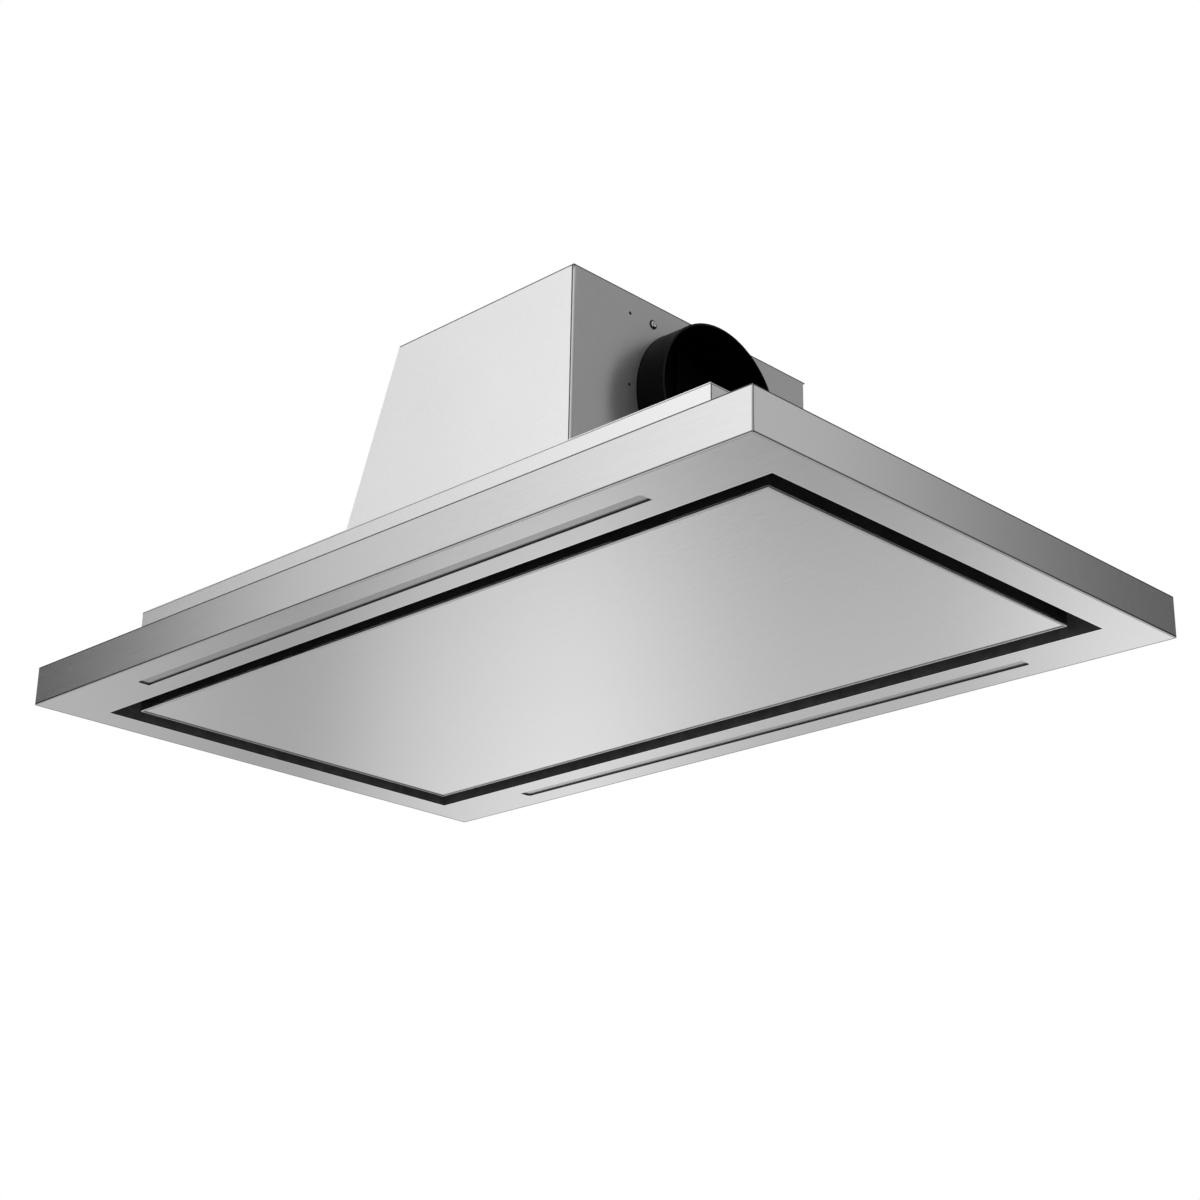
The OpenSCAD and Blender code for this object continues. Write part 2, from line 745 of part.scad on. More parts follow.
module motor_box_front() {
    mirror([0, 1, 0]) box_long();
}

// Outlet end: a sheet with rounded vertical edges and returns that tuck inside the long sides
module outlet_section(grow) {
    r = outlet_bend_r - grow;
    x0 = box_end_x - 2 * box_return_w;
    x1 = box_end_x - grow;
    y = box_in_y - grow;
    translate([x0, -y]) square([x1 - x0 - r, 2 * y]);
    translate([x0, -y + r]) square([x1 - x0, 2 * (y - r)]);
    for (s = [-1, 1]) translate([x1 - r, s * (y - r)]) circle(r);
}

module motor_box_outlet() {
    color("whitesmoke") difference() {
        linear_extrude(wall_h) outlet_section(0);
        translate([0, 0, -over]) linear_extrude(wall_h + 2 * over) {
            outlet_section(sheet_t);
            translate([box_end_x - 2 * box_return_w - over, -box_in_y + sheet_t])
                square([2 * over, 2 * (box_in_y - sheet_t)]);
        }
        translate([box_end_x - sheet_t - over, 0, collar_z]) rotate([0, 90, 0])
            cylinder(h = sheet_t + 2 * over, r = collar_r + seat_gap);
        outlet_holes();
    }
}

// Screw holes and spare holes through the outlet panel and the collar's flange behind it
module outlet_holes() {
    depth = box_end_x - collar_flange_x + collar_flange_t + over;
    at_collar_screws() cylinder(h = 2 * depth, r = screw_r + run_gap, center = true);
    for (sy = [-1, 1], z = [-collar_screw_z, 0, collar_screw_z])
        translate([box_end_x - depth, sy * spare_hole_y, collar_z + z]) rotate([0, 90, 0])
            cylinder(h = 2 * depth, r = spare_hole_r);
}

// Places of the collar screws, with +Z turned to +X
module at_collar_screws() {
    for (sy = [-1, 1], sz = [-1, 1])
        translate([box_end_x, sy * collar_screw_y, collar_z + sz * collar_screw_z])
            rotate([0, 90, 0]) children();
}

// Sloping end between the long sides, with returns along its edges
module slope_section(x_in) {
    foot_x = box_end_x - box_foot_l;
    top_x = foot_x + box_slope * wall_h;
    polygon([[foot_x, 0], [foot_x + x_in, 0], [top_x + x_in, wall_h], [top_x, wall_h]]);
}

module motor_box_slope() {
    color("whitesmoke") difference() {
        union() {
            translate([0, box_in_y, 0]) rotate([90, 0, 0])
                linear_extrude(2 * box_in_y) slope_section(slope_t);
            for (y = [-box_in_y + sheet_t, box_in_y])
                translate([0, y, 0]) rotate([90, 0, 0]) linear_extrude(sheet_t) slope_section(box_return_w);
        }
        translate([box_end_x - box_foot_l - over, 0, lead_z]) rotate([0, 90, 0])
            cylinder(h = box_return_w + box_slope * control_h, r = lead_r + seat_gap);
    }
}

// Places of the lid screws, in the top flanges
module at_lid_screws() {
    top_x = box_end_x - box_top_l;
    x0 = top_x + 3 * box_return_w;
    x1 = box_end_x - 4 * box_return_w;
    for (sy = [-1, 1], x = [x0, (x0 + x1) / 2, x1])
        translate([x, sy * (box_w / 2 - box_flange_w / 2), box_h]) children();
}

module motor_box_lid() {
    color("whitesmoke") difference() {
        block([box_end_x - box_top_l, -box_w / 2, box_h - lid_t], [box_end_x, box_w / 2, box_h]);
        at_lid_screws() cylinder(h = 2 * lid_t + over, r = screw_r + run_gap, center = true);
    }
}

module duct_collar() {
    pin_hole_h = collar_r + over;
    color([0.05, 0.05, 0.05]) difference() {
        union() {
            translate([collar_x0, 0, collar_z]) rotate([0, 90, 0])
                cylinder(h = collar_x1 - collar_x0, r = collar_root_r, $fn = 96);
            translate([box_end_x + collar_root_l, 0, collar_z]) rotate([0, 90, 0])
                cylinder(h = collar_out - collar_root_l, r = collar_r, $fn = 96);
            block([collar_flange_x - collar_flange_t, -collar_flange_hw, collar_z - collar_flange_hh],
                  [collar_flange_x, collar_flange_hw, collar_z + collar_flange_hh]);
        }
        translate([flap_x - seat_gap, 0, collar_z]) rotate([0, 90, 0])
            cylinder(h = collar_x1 - flap_x + over, r = collar_in_r, $fn = 96);
        translate([collar_x0 - over, 0, collar_z]) rotate([0, 90, 0])
            cylinder(h = collar_x1, r = collar_in_r - stop_h, $fn = 96);
        translate([pin_x, 0, collar_z - pin_hole_h]) cylinder(h = 2 * pin_hole_h, r = pin_r + pin_gap);
        outlet_holes();
    }
}

module damper_pin() {
    reach = (collar_in_r + 3 * collar_root_r) / 4;
    color("silver") translate([pin_x, 0, collar_z - reach]) cylinder(h = 2 * reach, r = pin_r);
}

// Half-round flap on the -Y side of the pin; spans lists its knuckles' ends along the pin
module flap(spans) {
    edge = knuckle_r + 2 * seat_gap;
    plate_x = flap_x - pin_x;
    joined = edge + knuckle_r;
    color([0.12, 0.12, 0.13]) translate([pin_x, 0, collar_z]) difference() {
        union() {
            intersection() {
                translate([plate_x, 0, 0]) rotate([0, 90, 0]) cylinder(h = flap_t, r = flap_r, $fn = 96);
                block([plate_x - over, -flap_r - over, -flap_r - over],
                      [plate_x + flap_t + over, -edge, flap_r + over]);
            }
            for (s = spans) {
                translate([0, 0, s[0]]) cylinder(h = s[1] - s[0], r = knuckle_r);
                block([plate_x, -joined, s[0]], [plate_x + flap_t, 0, s[1]]);
            }
        }
        translate([0, 0, -collar_r]) cylinder(h = 2 * collar_r, r = pin_r + run_gap);
    }
}

module damper_flap_front() {
    first = knuckle_mid + seat_gap;
    flap([[-first - knuckle_end_l, -first], [first, first + knuckle_end_l]]);
}

module damper_flap_rear() {
    mirror([0, 1, 0]) flap([[-knuckle_mid, knuckle_mid]]);
}

// Outline of the scroll about the fan's axis, grown by g: three arcs and the outlet
module volute(g, run_out) {
    s = scroll_step / 2;
    quarter(-s, s, arc1_r + g, 0);
    quarter(-s, -s, arc2_r + g, 1);
    quarter(s, -s, arc3_r + g, 2);
    quarter(-s, s, arc1_r + g, 3);
    translate([-s, -s - arc3_r - g])
        square([scroll_end - axis_x + s + run_out, arc3_r + s - tongue_drop + 2 * g]);
}

// Quarter disc about (x, y), in the quadrant q, run on a little into the wider one after it
module quarter(x, y, r, q) {
    translate([x, y]) rotate(90 * q) intersection() {
        circle(r, $fn = 96);
        translate([-scroll_step, 0]) square(r + scroll_step);
    }
}

module scroll_wrapper() {
    color("lightsteelblue") translate([axis_x, axis_y, z_scroll + sheet_t])
        linear_extrude(scroll_h - 2 * sheet_t) difference() {
            volute(scroll_wall, 0);
            volute(0, over);
        }
}

module scroll_top() {
    color("lightsteelblue") translate([axis_x, axis_y, z_scroll_top - sheet_t]) difference() {
        linear_extrude(sheet_t) volute(scroll_wall, 0);
        translate([0, 0, -over]) cylinder(h = sheet_t + 2 * over, r = motor_r + 2 * seat_gap);
        at_motor_screws() cylinder(h = 2 * (sheet_t + over), r = screw_r + run_gap, center = true);
    }
}

module scroll_bottom() {
    lip_h = fan_gap - 2 * sheet_t;
    color("lightsteelblue") translate([axis_x, axis_y, z_scroll]) difference() {
        union() {
            linear_extrude(sheet_t) volute(scroll_wall, 0);
            cylinder(h = sheet_t + lip_h, r = eye_r);
        }
        translate([0, 0, -over]) cylinder(h = sheet_t + lip_h + 2 * over, r = eye_r - sheet_t);
    }
}

// Square-to-round adapter; both ends are thin slabs of the same wall
module adapter_body(inset, run_out) {
    hull() {
        translate([scroll_end - run_out, outlet_y0 - scroll_wall + inset, z_scroll + inset])
            cube([scroll_wall + run_out, outlet_y1 - outlet_y0 + 2 * (scroll_wall - inset),
                  scroll_h - 2 * inset]);
        translate([collar_x0 - scroll_wall, 0, collar_z]) rotate([0, 90, 0])
            cylinder(h = scroll_wall + run_out, r = collar_root_r - inset, $fn = 48);
    }
}

module outlet_adapter() {
    color("lightsteelblue") difference() {
        adapter_body(0, 0);
        adapter_body(scroll_wall, over);
    }
}

// Places of the motor's flange screws about the fan's axis
module at_motor_screws() {
    for (a = [45:90:315]) rotate(a) translate([(motor_r + motor_flange_r) / 2, 0, 0]) children();
}

module blower_motor() {
    color("slategray") translate([axis_x, axis_y, 0]) difference() {
        union() {
            translate([0, 0, z_scroll_top - motor_h]) cylinder(h = motor_h, r = motor_r);
            translate([0, 0, z_scroll_top]) cylinder(h = motor_flange_t, r = motor_flange_r);
            translate([0, 0, z_scroll_top]) cylinder(h = motor_cap_h, r = motor_cap_r);
        }
        translate([0, 0, z_scroll_top - motor_h - over])
            cylinder(h = motor_h + over + motor_cap_h - motor_end_t, r = shaft_r + run_gap);
        at_motor_screws() translate([0, 0, z_scroll_top])
            cylinder(h = 2 * (motor_flange_t + over), r = screw_r + run_gap, center = true);
    }
}

module motor_shaft() {
    color("silver") translate([axis_x, axis_y, 0]) {
        translate([0, 0, shaft_end]) cylinder(h = z_shaft_top - shaft_end, r = shaft_r);
        translate([0, 0, shaft_end - nut_h]) cylinder(h = nut_h, r = nut_r, $fn = 6);
    }
}

module fan_hub() {
    color("dimgrey") translate([axis_x, axis_y, 0]) rotate_extrude($fn = 96) {
        translate([cup_r, z_fan_top - fan_plate_t]) square([fan_r - cup_r, fan_plate_t]);
        translate([cup_r, z_cup]) square([fan_plate_t, z_fan_top - z_cup]);
        translate([shaft_r, z_cup]) square([cup_r + fan_plate_t - shaft_r, fan_plate_t]);
        translate([shaft_r, shaft_end]) square([hub_r - shaft_r, z_cup + fan_plate_t - shaft_end]);
    }
}

// One forward-curved blade in plan: an arc of thickness blade_t across the blade ring
blade_steps = 6;
blade_sweep = 14;
function blade_point(k, side) =
    let (u = k / blade_steps, r = fan_r - blade_depth + blade_depth * u, a = blade_sweep * u * u)
    [r * cos(a) - side * blade_t / 2 * sin(a), r * sin(a) + side * blade_t / 2 * cos(a)];

module fan_blades() {
    z0 = z_fan + fan_plate_t;
    color("dimgrey") translate([axis_x, axis_y, z0]) for (i = [0:blade_count - 1])
        rotate(360 * i / blade_count) linear_extrude(z_fan_top - fan_plate_t - z0) polygon(concat(
            [for (k = [0:blade_steps]) blade_point(k, -1)],
            [for (k = [blade_steps:-1:0]) blade_point(k, 1)]));
}

module fan_inlet_ring() {
    color("dimgrey") translate([axis_x, axis_y, 0]) rotate_extrude($fn = 96)
        translate([fan_r - blade_depth, z_fan]) square([blade_depth, fan_plate_t]);
}

// Places of the blower's feet on the deck
module at_feet() {
    for (a = foot_angles) translate([axis_x, axis_y, 0]) rotate(a) translate([foot_ring_r, 0, 0]) children();
}

module rubber_mounts() {
    waist = 0.75 * mount_r;
    color([0.09, 0.09, 0.09]) at_feet() rotate_extrude() {
        square([mount_r, mount_h / 3]);
        square([waist, mount_h]);
        translate([0, 2 * mount_h / 3]) square([mount_r, mount_h / 3]);
    }
}

// Feet: a base on the mount, an upright and a top tab under the scroll
module blower_feet() {
    half = foot_w / 2;
    color("lightgrey") at_feet() {
        block([-mount_r, -half, mount_h], [mount_r, half, mount_h + foot_t]);
        block([-mount_r, -half, mount_h], [-mount_r + foot_t, half, z_scroll]);
        block([-2 * mount_r, -half, z_scroll - foot_t], [-mount_r + foot_t, half, z_scroll]);
    }
}

module control_box() {
    y = control_w / 2;
    lid_z = control_h - sheet_t - seat_gap;
    color("lightgrey") difference() {
        block([control_x0, -y, 0], [control_x1, y, lid_z]);
        block([control_x0 + sheet_t, -y + sheet_t, sheet_t], [control_x1 - sheet_t, y - sheet_t, control_h]);
        translate([control_x1 - sheet_t - over, 0, lead_z]) rotate([0, 90, 0])
            cylinder(h = sheet_t + 2 * over, r = lead_r + seat_gap);
        translate([control_x0 - over, 0, lead_z]) rotate([0, 90, 0])
            cylinder(h = sheet_t + 2 * over, r = gland_neck_r + seat_gap);
    }
}

// Places of the control box's cover screws
module at_cover_screws() {
    inset = 3 * screw_head_r;
    for (sy = [-1, 1], x = [control_x0 + inset, control_x1 - inset])
        translate([x, sy * (control_w / 2 - inset), control_h]) children();
}

module control_box_cover() {
    y = control_w / 2;
    louvre_w = control_w / 4;
    color("lightgrey") difference() {
        block([control_x0, -y, control_h - sheet_t], [control_x1, y, control_h]);
        at_cover_screws() cylinder(h = 2 * (sheet_t + over), r = screw_r + run_gap, center = true);
        for (k = [-2:2]) translate([(control_x0 + control_x1) / 2 + k * control_l / 14, 0, control_h])
            cube([control_l / 60, louvre_w, 2 * (sheet_t + over)], center = true);
    }
}

module control_board() {
    x0 = control_x0 + control_l / 8;
    x1 = control_x1 - control_l / 8;
    y0 = -control_w / 2 + control_w / 12;
    y1 = control_w / 8;
    z0 = sheet_t + board_post_h;
    color("seagreen") {
        block([x0, y0, z0], [x1, y1, z0 + board_t]);
        for (x = [x0 + board_cell, x1 - board_cell], y = [y0 + board_cell, y1 - board_cell])
            translate([x, y, sheet_t]) cylinder(h = board_post_h, r = screw_head_r);
        block([x0 + board_cell, y0 + 2 * board_cell, z0],
              [x0 + 4 * board_cell, y0 + 5 * board_cell, z0 + 3 * board_cell]);
        for (k = [0:3]) block([x1 - 4 * board_cell, y0 + (2 * k + 2) * board_cell, z0],
                              [x1 - 2 * board_cell, y0 + (2 * k + 3) * board_cell, z0 + 2 * board_cell]);
    }
}

module run_capacitor() {
    x = (control_x0 + control_x1) / 2;
    y = control_w / 2 - sheet_t - seat_gap - capacitor_r;
    color("whitesmoke") translate([x - capacitor_l / 2, y, sheet_t + seat_gap + capacitor_r])
        rotate([0, 90, 0]) cylinder(h = capacitor_l, r = capacitor_r);
}

module cable_gland() {
    inner_l = sheet_t + seat_gap + gland_nut_l;
    color([0.1, 0.1, 0.1]) translate([control_x0, 0, lead_z]) rotate([0, -90, 0]) difference() {
        union() {
            cylinder(h = gland_nut_l, r = 1.3 * gland_r, $fn = 6);
            cylinder(h = gland_l, r = gland_r);
            translate([0, 0, -inner_l]) cylinder(h = inner_l, r = gland_neck_r);
            translate([0, 0, -inner_l]) cylinder(h = gland_nut_l, r = 1.3 * gland_r, $fn = 6);
        }
        translate([0, 0, -gland_l]) cylinder(h = 3 * gland_l, r = gland_bore_r);
    }
}

// Straight lead from the control box into the motor box, through both holes
module motor_lead() {
    end_x = box_end_x - box_foot_l + box_slope * lead_z + box_return_w;
    start_x = control_x1 - sheet_t - 2 * lead_r;
    color([0.1, 0.1, 0.1]) translate([start_x, 0, lead_z]) rotate([0, 90, 0])
        cylinder(h = end_x - start_x, r = lead_r);
}

module light_housings() {
    z0 = z_bottom + sheet_t;
    color([0.08, 0.08, 0.09]) both_sides() difference() {
        translate([0, 0, z0]) linear_extrude(light_housing_h) slot_shape(light_wall);
        translate([0, 0, z0 - over]) linear_extrude(light_housing_h + over - light_wall) slot_shape(0);
    }
}

module light_boards() {
    z1 = z_bottom + sheet_t + light_housing_h - light_wall;
    board_w = slot_w - 4 * light_wall;
    y0 = slot_y + 2 * light_wall;
    color("white") both_sides() {
        block([-slot_l / 2 + slot_w, y0, z1 - light_board_t], [slot_l / 2 - slot_w, y0 + board_w, z1]);
        for (k = [0:chip_count - 1])
            translate([(k - (chip_count - 1) / 2) * chip_pitch, slot_y + slot_w / 2, z1 - light_board_t])
                cube([chip_w, chip_w, 2 * chip_h], center = true);
    }
}

module light_diffusers() {
    color([0.75, 0.76, 0.77]) both_sides() translate([0, 0, z_bottom + diffuser_recess])
        linear_extrude(diffuser_t) slot_shape(-seat_gap);
}

// The same piece at both hinges
module at_hinges() {
    for (s = [-1, 1]) translate([s * hinge_x, hinge_y, hinge_z]) children();
}

// Ears that hang from the black frame's rear wall down to the hinge axis
module hinge_brackets() {
    reach = frame_y - hinge_y;
    top = z_bracket - hinge_z;
    gap = hinge_arm_w / 2 + seat_gap;
    color([0.2, 0.2, 0.21]) at_hinges() {
        for (s = [-1, 1]) difference() {
            translate([s < 0 ? -gap - hinge_ear_t : gap, 0, 0]) {
                rotate([0, 90, 0]) cylinder(h = hinge_ear_t, r = hinge_r);
                block([0, -hinge_r, 0], [hinge_ear_t, hinge_r, top]);
                block([0, 0, ear_rise], [hinge_ear_t, reach, top]);
            }
            rotate([0, 90, 0]) cylinder(h = 4 * gap, r = hinge_pin_r + pin_gap, center = true);
        }
        block([-gap - hinge_ear_t, reach - bracket_t, ear_rise], [gap + hinge_ear_t, reach, top]);
    }
}

module hinge_pins() {
    half = hinge_arm_w / 2 + seat_gap + hinge_ear_t;
    color("silver") at_hinges() rotate([0, 90, 0]) {
        cylinder(h = 2 * half, r = hinge_pin_r, center = true);
        for (s = [-1, 1]) translate([0, 0, s * (half + hinge_ear_t / 4)])
            cylinder(h = hinge_ear_t / 2, r = 1.5 * hinge_pin_r, center = true);
    }
}

// Arm on the panel: a knuckle on the pin, a web and a foot on the tray
module hinge_arms() {
    half = hinge_arm_w / 2;
    color([0.2, 0.2, 0.21]) at_hinges() difference() {
        union() {
            rotate([0, 90, 0]) cylinder(h = hinge_arm_w, r = hinge_r, center = true);
            block([-half, -hinge_r, -hinge_up], [half, -hinge_r + hinge_ear_t, 0]);
            block([-half, -hinge_foot_l, -hinge_up], [half, -hinge_r + hinge_ear_t, -hinge_up + hinge_ear_t]);
        }
        rotate([0, 90, 0]) cylinder(h = 2 * hinge_arm_w, r = hinge_pin_r + run_gap, center = true);
    }
}

// Magnetic catches on brackets from the black frame's front wall, over the panel's front edge
module catch_magnets() {
    y0 = -panel_w / 2 + 2 * bracket_t;
    half = catch_l / 2;
    z_mag = z_panel_top + seat_gap;
    color([0.2, 0.2, 0.21]) for (s = [-1, 1]) translate([s * catch_x, 0, 0]) {
        block([-half, -frame_y, z_bracket - bracket_t], [half, y0 + catch_w, z_bracket]);
        block([-half, -frame_y, z_bracket - 3 * bracket_t], [half, -frame_y + bracket_t, z_bracket]);
        block([-half, y0, z_mag + magnet_h], [half, y0 + bracket_t, z_bracket]);
        block([-half, y0, z_mag], [half, y0 + catch_w, z_mag + magnet_h]);
    }
}

module panel_face() {
    color("silver") sheet_tray(panel_l, panel_w, panel_edge_h, z_face);
}

module panel_tray() {
    l = panel_l - 2 * seat_gap;
    w = panel_w - 2 * seat_gap;
    color([0.06, 0.06, 0.06]) difference() {
        block([-l / 2, -w / 2, z_tray], [l / 2, w / 2, z_panel_top]);
        block([-l / 2 + sheet_t, -w / 2 + sheet_t, z_tray - over],
              [l / 2 - sheet_t, w / 2 - sheet_t, z_panel_top - sheet_t]);
    }
}

// Pan-head screw with its head on the face z = 0 and its shank below
module screw() {
    difference() {
        union() {
            cylinder(h = screw_head_h, r = screw_head_r);
            translate([0, 0, -3 * screw_head_h]) cylinder(h = 3 * screw_head_h, r = screw_r);
        }
        for (a = [0, 90]) rotate(a) translate([0, 0, screw_head_h])
            cube([screw_head_r, screw_head_r / 4, screw_head_h], center = true);
    }
}

module screws() {
    color("lightgrey") {
        at_collar_screws() screw();
        at_lid_screws() screw();
        at_cover_screws() screw();
        translate([axis_x, axis_y, z_scroll_top + motor_flange_t]) at_motor_screws() screw();
    }
}

module grease_filter_1() { grease_filter(1); }
module grease_filter_2() { grease_filter(2); }
module grease_filter_3() { grease_filter(3); }
module filter_latch_1() { filter_latch(1); }
module filter_latch_2() { filter_latch(2); }
module filter_latch_3() { filter_latch(3); }
module latch_spring_1() { latch_spring(1); }
module latch_spring_2() { latch_spring(2); }
module latch_spring_3() { latch_spring(3); }

bottom_flange();
front_fascia();
rear_fascia();
left_fascia();
right_fascia();
canopy_top();
inlet_frame();
plenum_front();
plenum_rear();
plenum_left();
plenum_right();
plenum_deck();
hanger_brackets();
filter_rails();
grease_filter_1();
grease_filter_2();
grease_filter_3();
filter_meshes();
filter_latch_1();
filter_latch_2();
filter_latch_3();
latch_spring_1();
latch_spring_2();
latch_spring_3();
motor_box_front();
motor_box_rear();
motor_box_outlet();
motor_box_slope();
motor_box_lid();
duct_collar();
damper_pin();
damper_flap_front();
damper_flap_rear();
scroll_wrapper();
scroll_top();
scroll_bottom();
outlet_adapter();
blower_motor();
motor_shaft();
fan_hub();
fan_blades();
fan_inlet_ring();
blower_feet();
rubber_mounts();
control_box();
control_box_cover();
control_board();
run_capacitor();
cable_gland();
motor_lead();
light_housings();
light_boards();
light_diffusers();
hinge_brackets();
hinge_pins();
catch_magnets();
panel_face();
panel_tray();
hinge_arms();
screws();
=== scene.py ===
"""Looks for the ceiling range hood: its finishes, its fine pieces, the studio and the camera."""

import math

import bmesh
import bpy
import numpy as np
from bpy.props import FloatProperty, FloatVectorProperty, IntProperty, PointerProperty
from mathutils import Matrix, Vector


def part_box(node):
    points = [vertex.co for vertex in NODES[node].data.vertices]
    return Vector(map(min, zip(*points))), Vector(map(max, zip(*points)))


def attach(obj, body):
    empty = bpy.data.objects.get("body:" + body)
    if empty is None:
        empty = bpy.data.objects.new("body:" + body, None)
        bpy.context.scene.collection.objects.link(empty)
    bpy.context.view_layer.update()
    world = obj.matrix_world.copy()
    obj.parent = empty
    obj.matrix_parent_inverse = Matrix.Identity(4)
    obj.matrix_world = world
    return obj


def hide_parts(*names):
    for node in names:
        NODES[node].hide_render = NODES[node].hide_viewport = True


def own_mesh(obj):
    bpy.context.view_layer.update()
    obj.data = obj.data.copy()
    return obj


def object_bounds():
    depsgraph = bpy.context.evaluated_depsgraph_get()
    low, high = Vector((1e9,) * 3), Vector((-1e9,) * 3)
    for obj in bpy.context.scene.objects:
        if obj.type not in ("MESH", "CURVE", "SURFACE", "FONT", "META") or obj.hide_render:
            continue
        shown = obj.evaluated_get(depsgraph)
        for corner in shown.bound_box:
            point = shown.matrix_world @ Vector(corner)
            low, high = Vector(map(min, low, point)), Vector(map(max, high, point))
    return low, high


bl_info = {
    "name": "Ceiling range hood looks",
    "version": (1, 0, 0),
    "blender": (4, 5, 0),
    "location": "3D View > Sidebar > Range hood",
    "description": "Dresses the packed ceiling range hood: finishes, filter mesh, springs, screws and studio",
    "category": "Object",
}

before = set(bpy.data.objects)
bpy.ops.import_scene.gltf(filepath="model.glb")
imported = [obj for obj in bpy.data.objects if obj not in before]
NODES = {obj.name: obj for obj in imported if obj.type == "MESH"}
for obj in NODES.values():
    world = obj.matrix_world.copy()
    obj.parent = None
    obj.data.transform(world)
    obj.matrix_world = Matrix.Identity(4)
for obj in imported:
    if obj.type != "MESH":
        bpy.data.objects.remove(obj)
CAD_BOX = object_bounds()
FILTERS = (1, 2, 3)
SPRINGS = {n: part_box(f"latch_spring_{n}") for n in FILTERS}

X, Y, Z = 0, 1, 2

# Sizes of the fine pieces that nobody would change, in metres.
SCREW_HEAD_RADIUS, SCREW_SHANK_RADIUS = 0.00398, 0.00165
WASHER_INNER, WASHER_OUTER, WASHER_HEIGHT = 0.00415, 0.0060, 0.0009
SHEET_GAUGE, STRAND_GAUGE, STRAND_TILT = 0.001, 0.0005, 0.0004
FILTER_LIPS, FILTER_EDGE_ROUND = 0.0085, 0.0004
COLLAR_RIM = 0.0015

# How close two places have to be, in metres: points of a seam or of a screw, a screw's end and its seat.
SEAM_GAP, POINT_GAP, END_GAP, SEAT_GAP = 2e-6, 1e-5, 0.0004, 0.001

# Degrees from one screw's cross recess to the next, points in one turn of a spring, and the packing's draw.
SCREW_TURN, COIL_POINTS, CRUMPLE_SEED = 37.0, 20, 7

# The part of a line's width that keeps its full strength, and the values between which most of a noise lies.
LINE_CORE = 0.55
NOISE_LOW, NOISE_HIGH = 0.3, 0.7

# A Mix node tells its two colours and its result by number.
FIRST_COLOUR, SECOND_COLOUR, MIXED_COLOUR = 6, 7, 2

# The studio's soft light as azimuth in degrees and brightness, above the horizon and below it.
UPPER_RING = (
    (0, 0.28), (20, 0.24), (35, 0.04), (42, 0.30), (50, 0.90), (58, 0.19), (62, 0.06), (90, 0.56),
    (190, 0.57), (206, 0.02), (213, 0.12), (216, 0.86), (222, 0.94), (230, 1.36), (238, 1.32), (250, 1.14),
    (265, 0.84), (290, 0.62), (320, 0.42), (360, 0.28),
)
LOWER_RING = (
    (0, 0.40), (60, 0.38), (90, 0.36), (105, 0.43), (112, 0.78), (120, 1.20), (125, 0.67), (130, 0.65),
    (135, 1.04), (137, 0.97), (140, 0.775), (142.5, 0.45), (144.5, 0.52), (148, 0.655), (200, 0.72),
    (300, 0.42), (360, 0.40),
)

# Brightness overhead, and the lower ring's share near the horizon and deep below it.
OVERHEAD, SHALLOW_SHARE, DEEP_SHARE = 0.78, 1.035, 0.69

# Elevations in degrees from which, and to which, the light turns overhead, under the horizon and deep.
OVERHEAD_FROM, OVERHEAD_TO = 50, 78
UNDER_FROM, UNDER_TO = -3, -8
DEEP_FROM, DEEP_TO = -21, -24.5

# Where the camera stands, in metres, and how it is turned, in degrees.
CAMERA_PLACE = (1.8113, -1.7931, -1.0023)
CAMERA_YAW, CAMERA_PITCH, CAMERA_ROLL = 134.634, 21.046, 0.978


class HoodFinishSettings(bpy.types.PropertyGroup):
    """Colours and gloss of the hood's sheets, paints and plastics."""

    steel_colour: FloatVectorProperty(
        name="Stainless colour", description="Colour of the brushed stainless sheets",
        subtype="COLOR", size=3, min=0, max=1, default=(0.62, 0.62, 0.62),
    )
    steel_roughness: FloatProperty(
        name="Stainless roughness", description="How far the brushed sheets blur what they mirror",
        subtype="FACTOR", min=0, max=1, default=0.17,
    )
    sheet_colour: FloatVectorProperty(
        name="Motor box colour", description="Colour of the matt pale sheet of the motor box",
        subtype="COLOR", size=3, min=0, max=1, default=(0.92, 0.92, 0.925),
    )
    sheet_roughness: FloatProperty(
        name="Motor box roughness", description="Roughness of the matt pale sheet",
        subtype="FACTOR", min=0, max=1, default=0.40,
    )
    # On the light housings this black paint is painted shade.
    paint_colour: FloatVectorProperty(
        name="Black paint colour",
        description="Colour of the satin black paint on the panel's tray, hinges and light housings",
        subtype="COLOR", size=3, min=0, max=1, default=(0.018, 0.018, 0.0195),
    )
    frame_colour: FloatVectorProperty(
        name="Opening frame colour", description="Colour of the black frame round the opening",
        subtype="COLOR", size=3, min=0, max=1, default=(0.090, 0.090, 0.0955),
    )
    collar_colour: FloatVectorProperty(
        name="Collar colour", description="Colour of the moulded black duct collar",
        subtype="COLOR", size=3, min=0, max=1, default=(0.0045, 0.0045, 0.005),
    )
    diffuser_colour: FloatVectorProperty(
        name="Diffuser colour", description="Colour of the frosted light strips",
        subtype="COLOR", size=3, min=0, max=1, default=(0.41, 0.41, 0.41),
    )


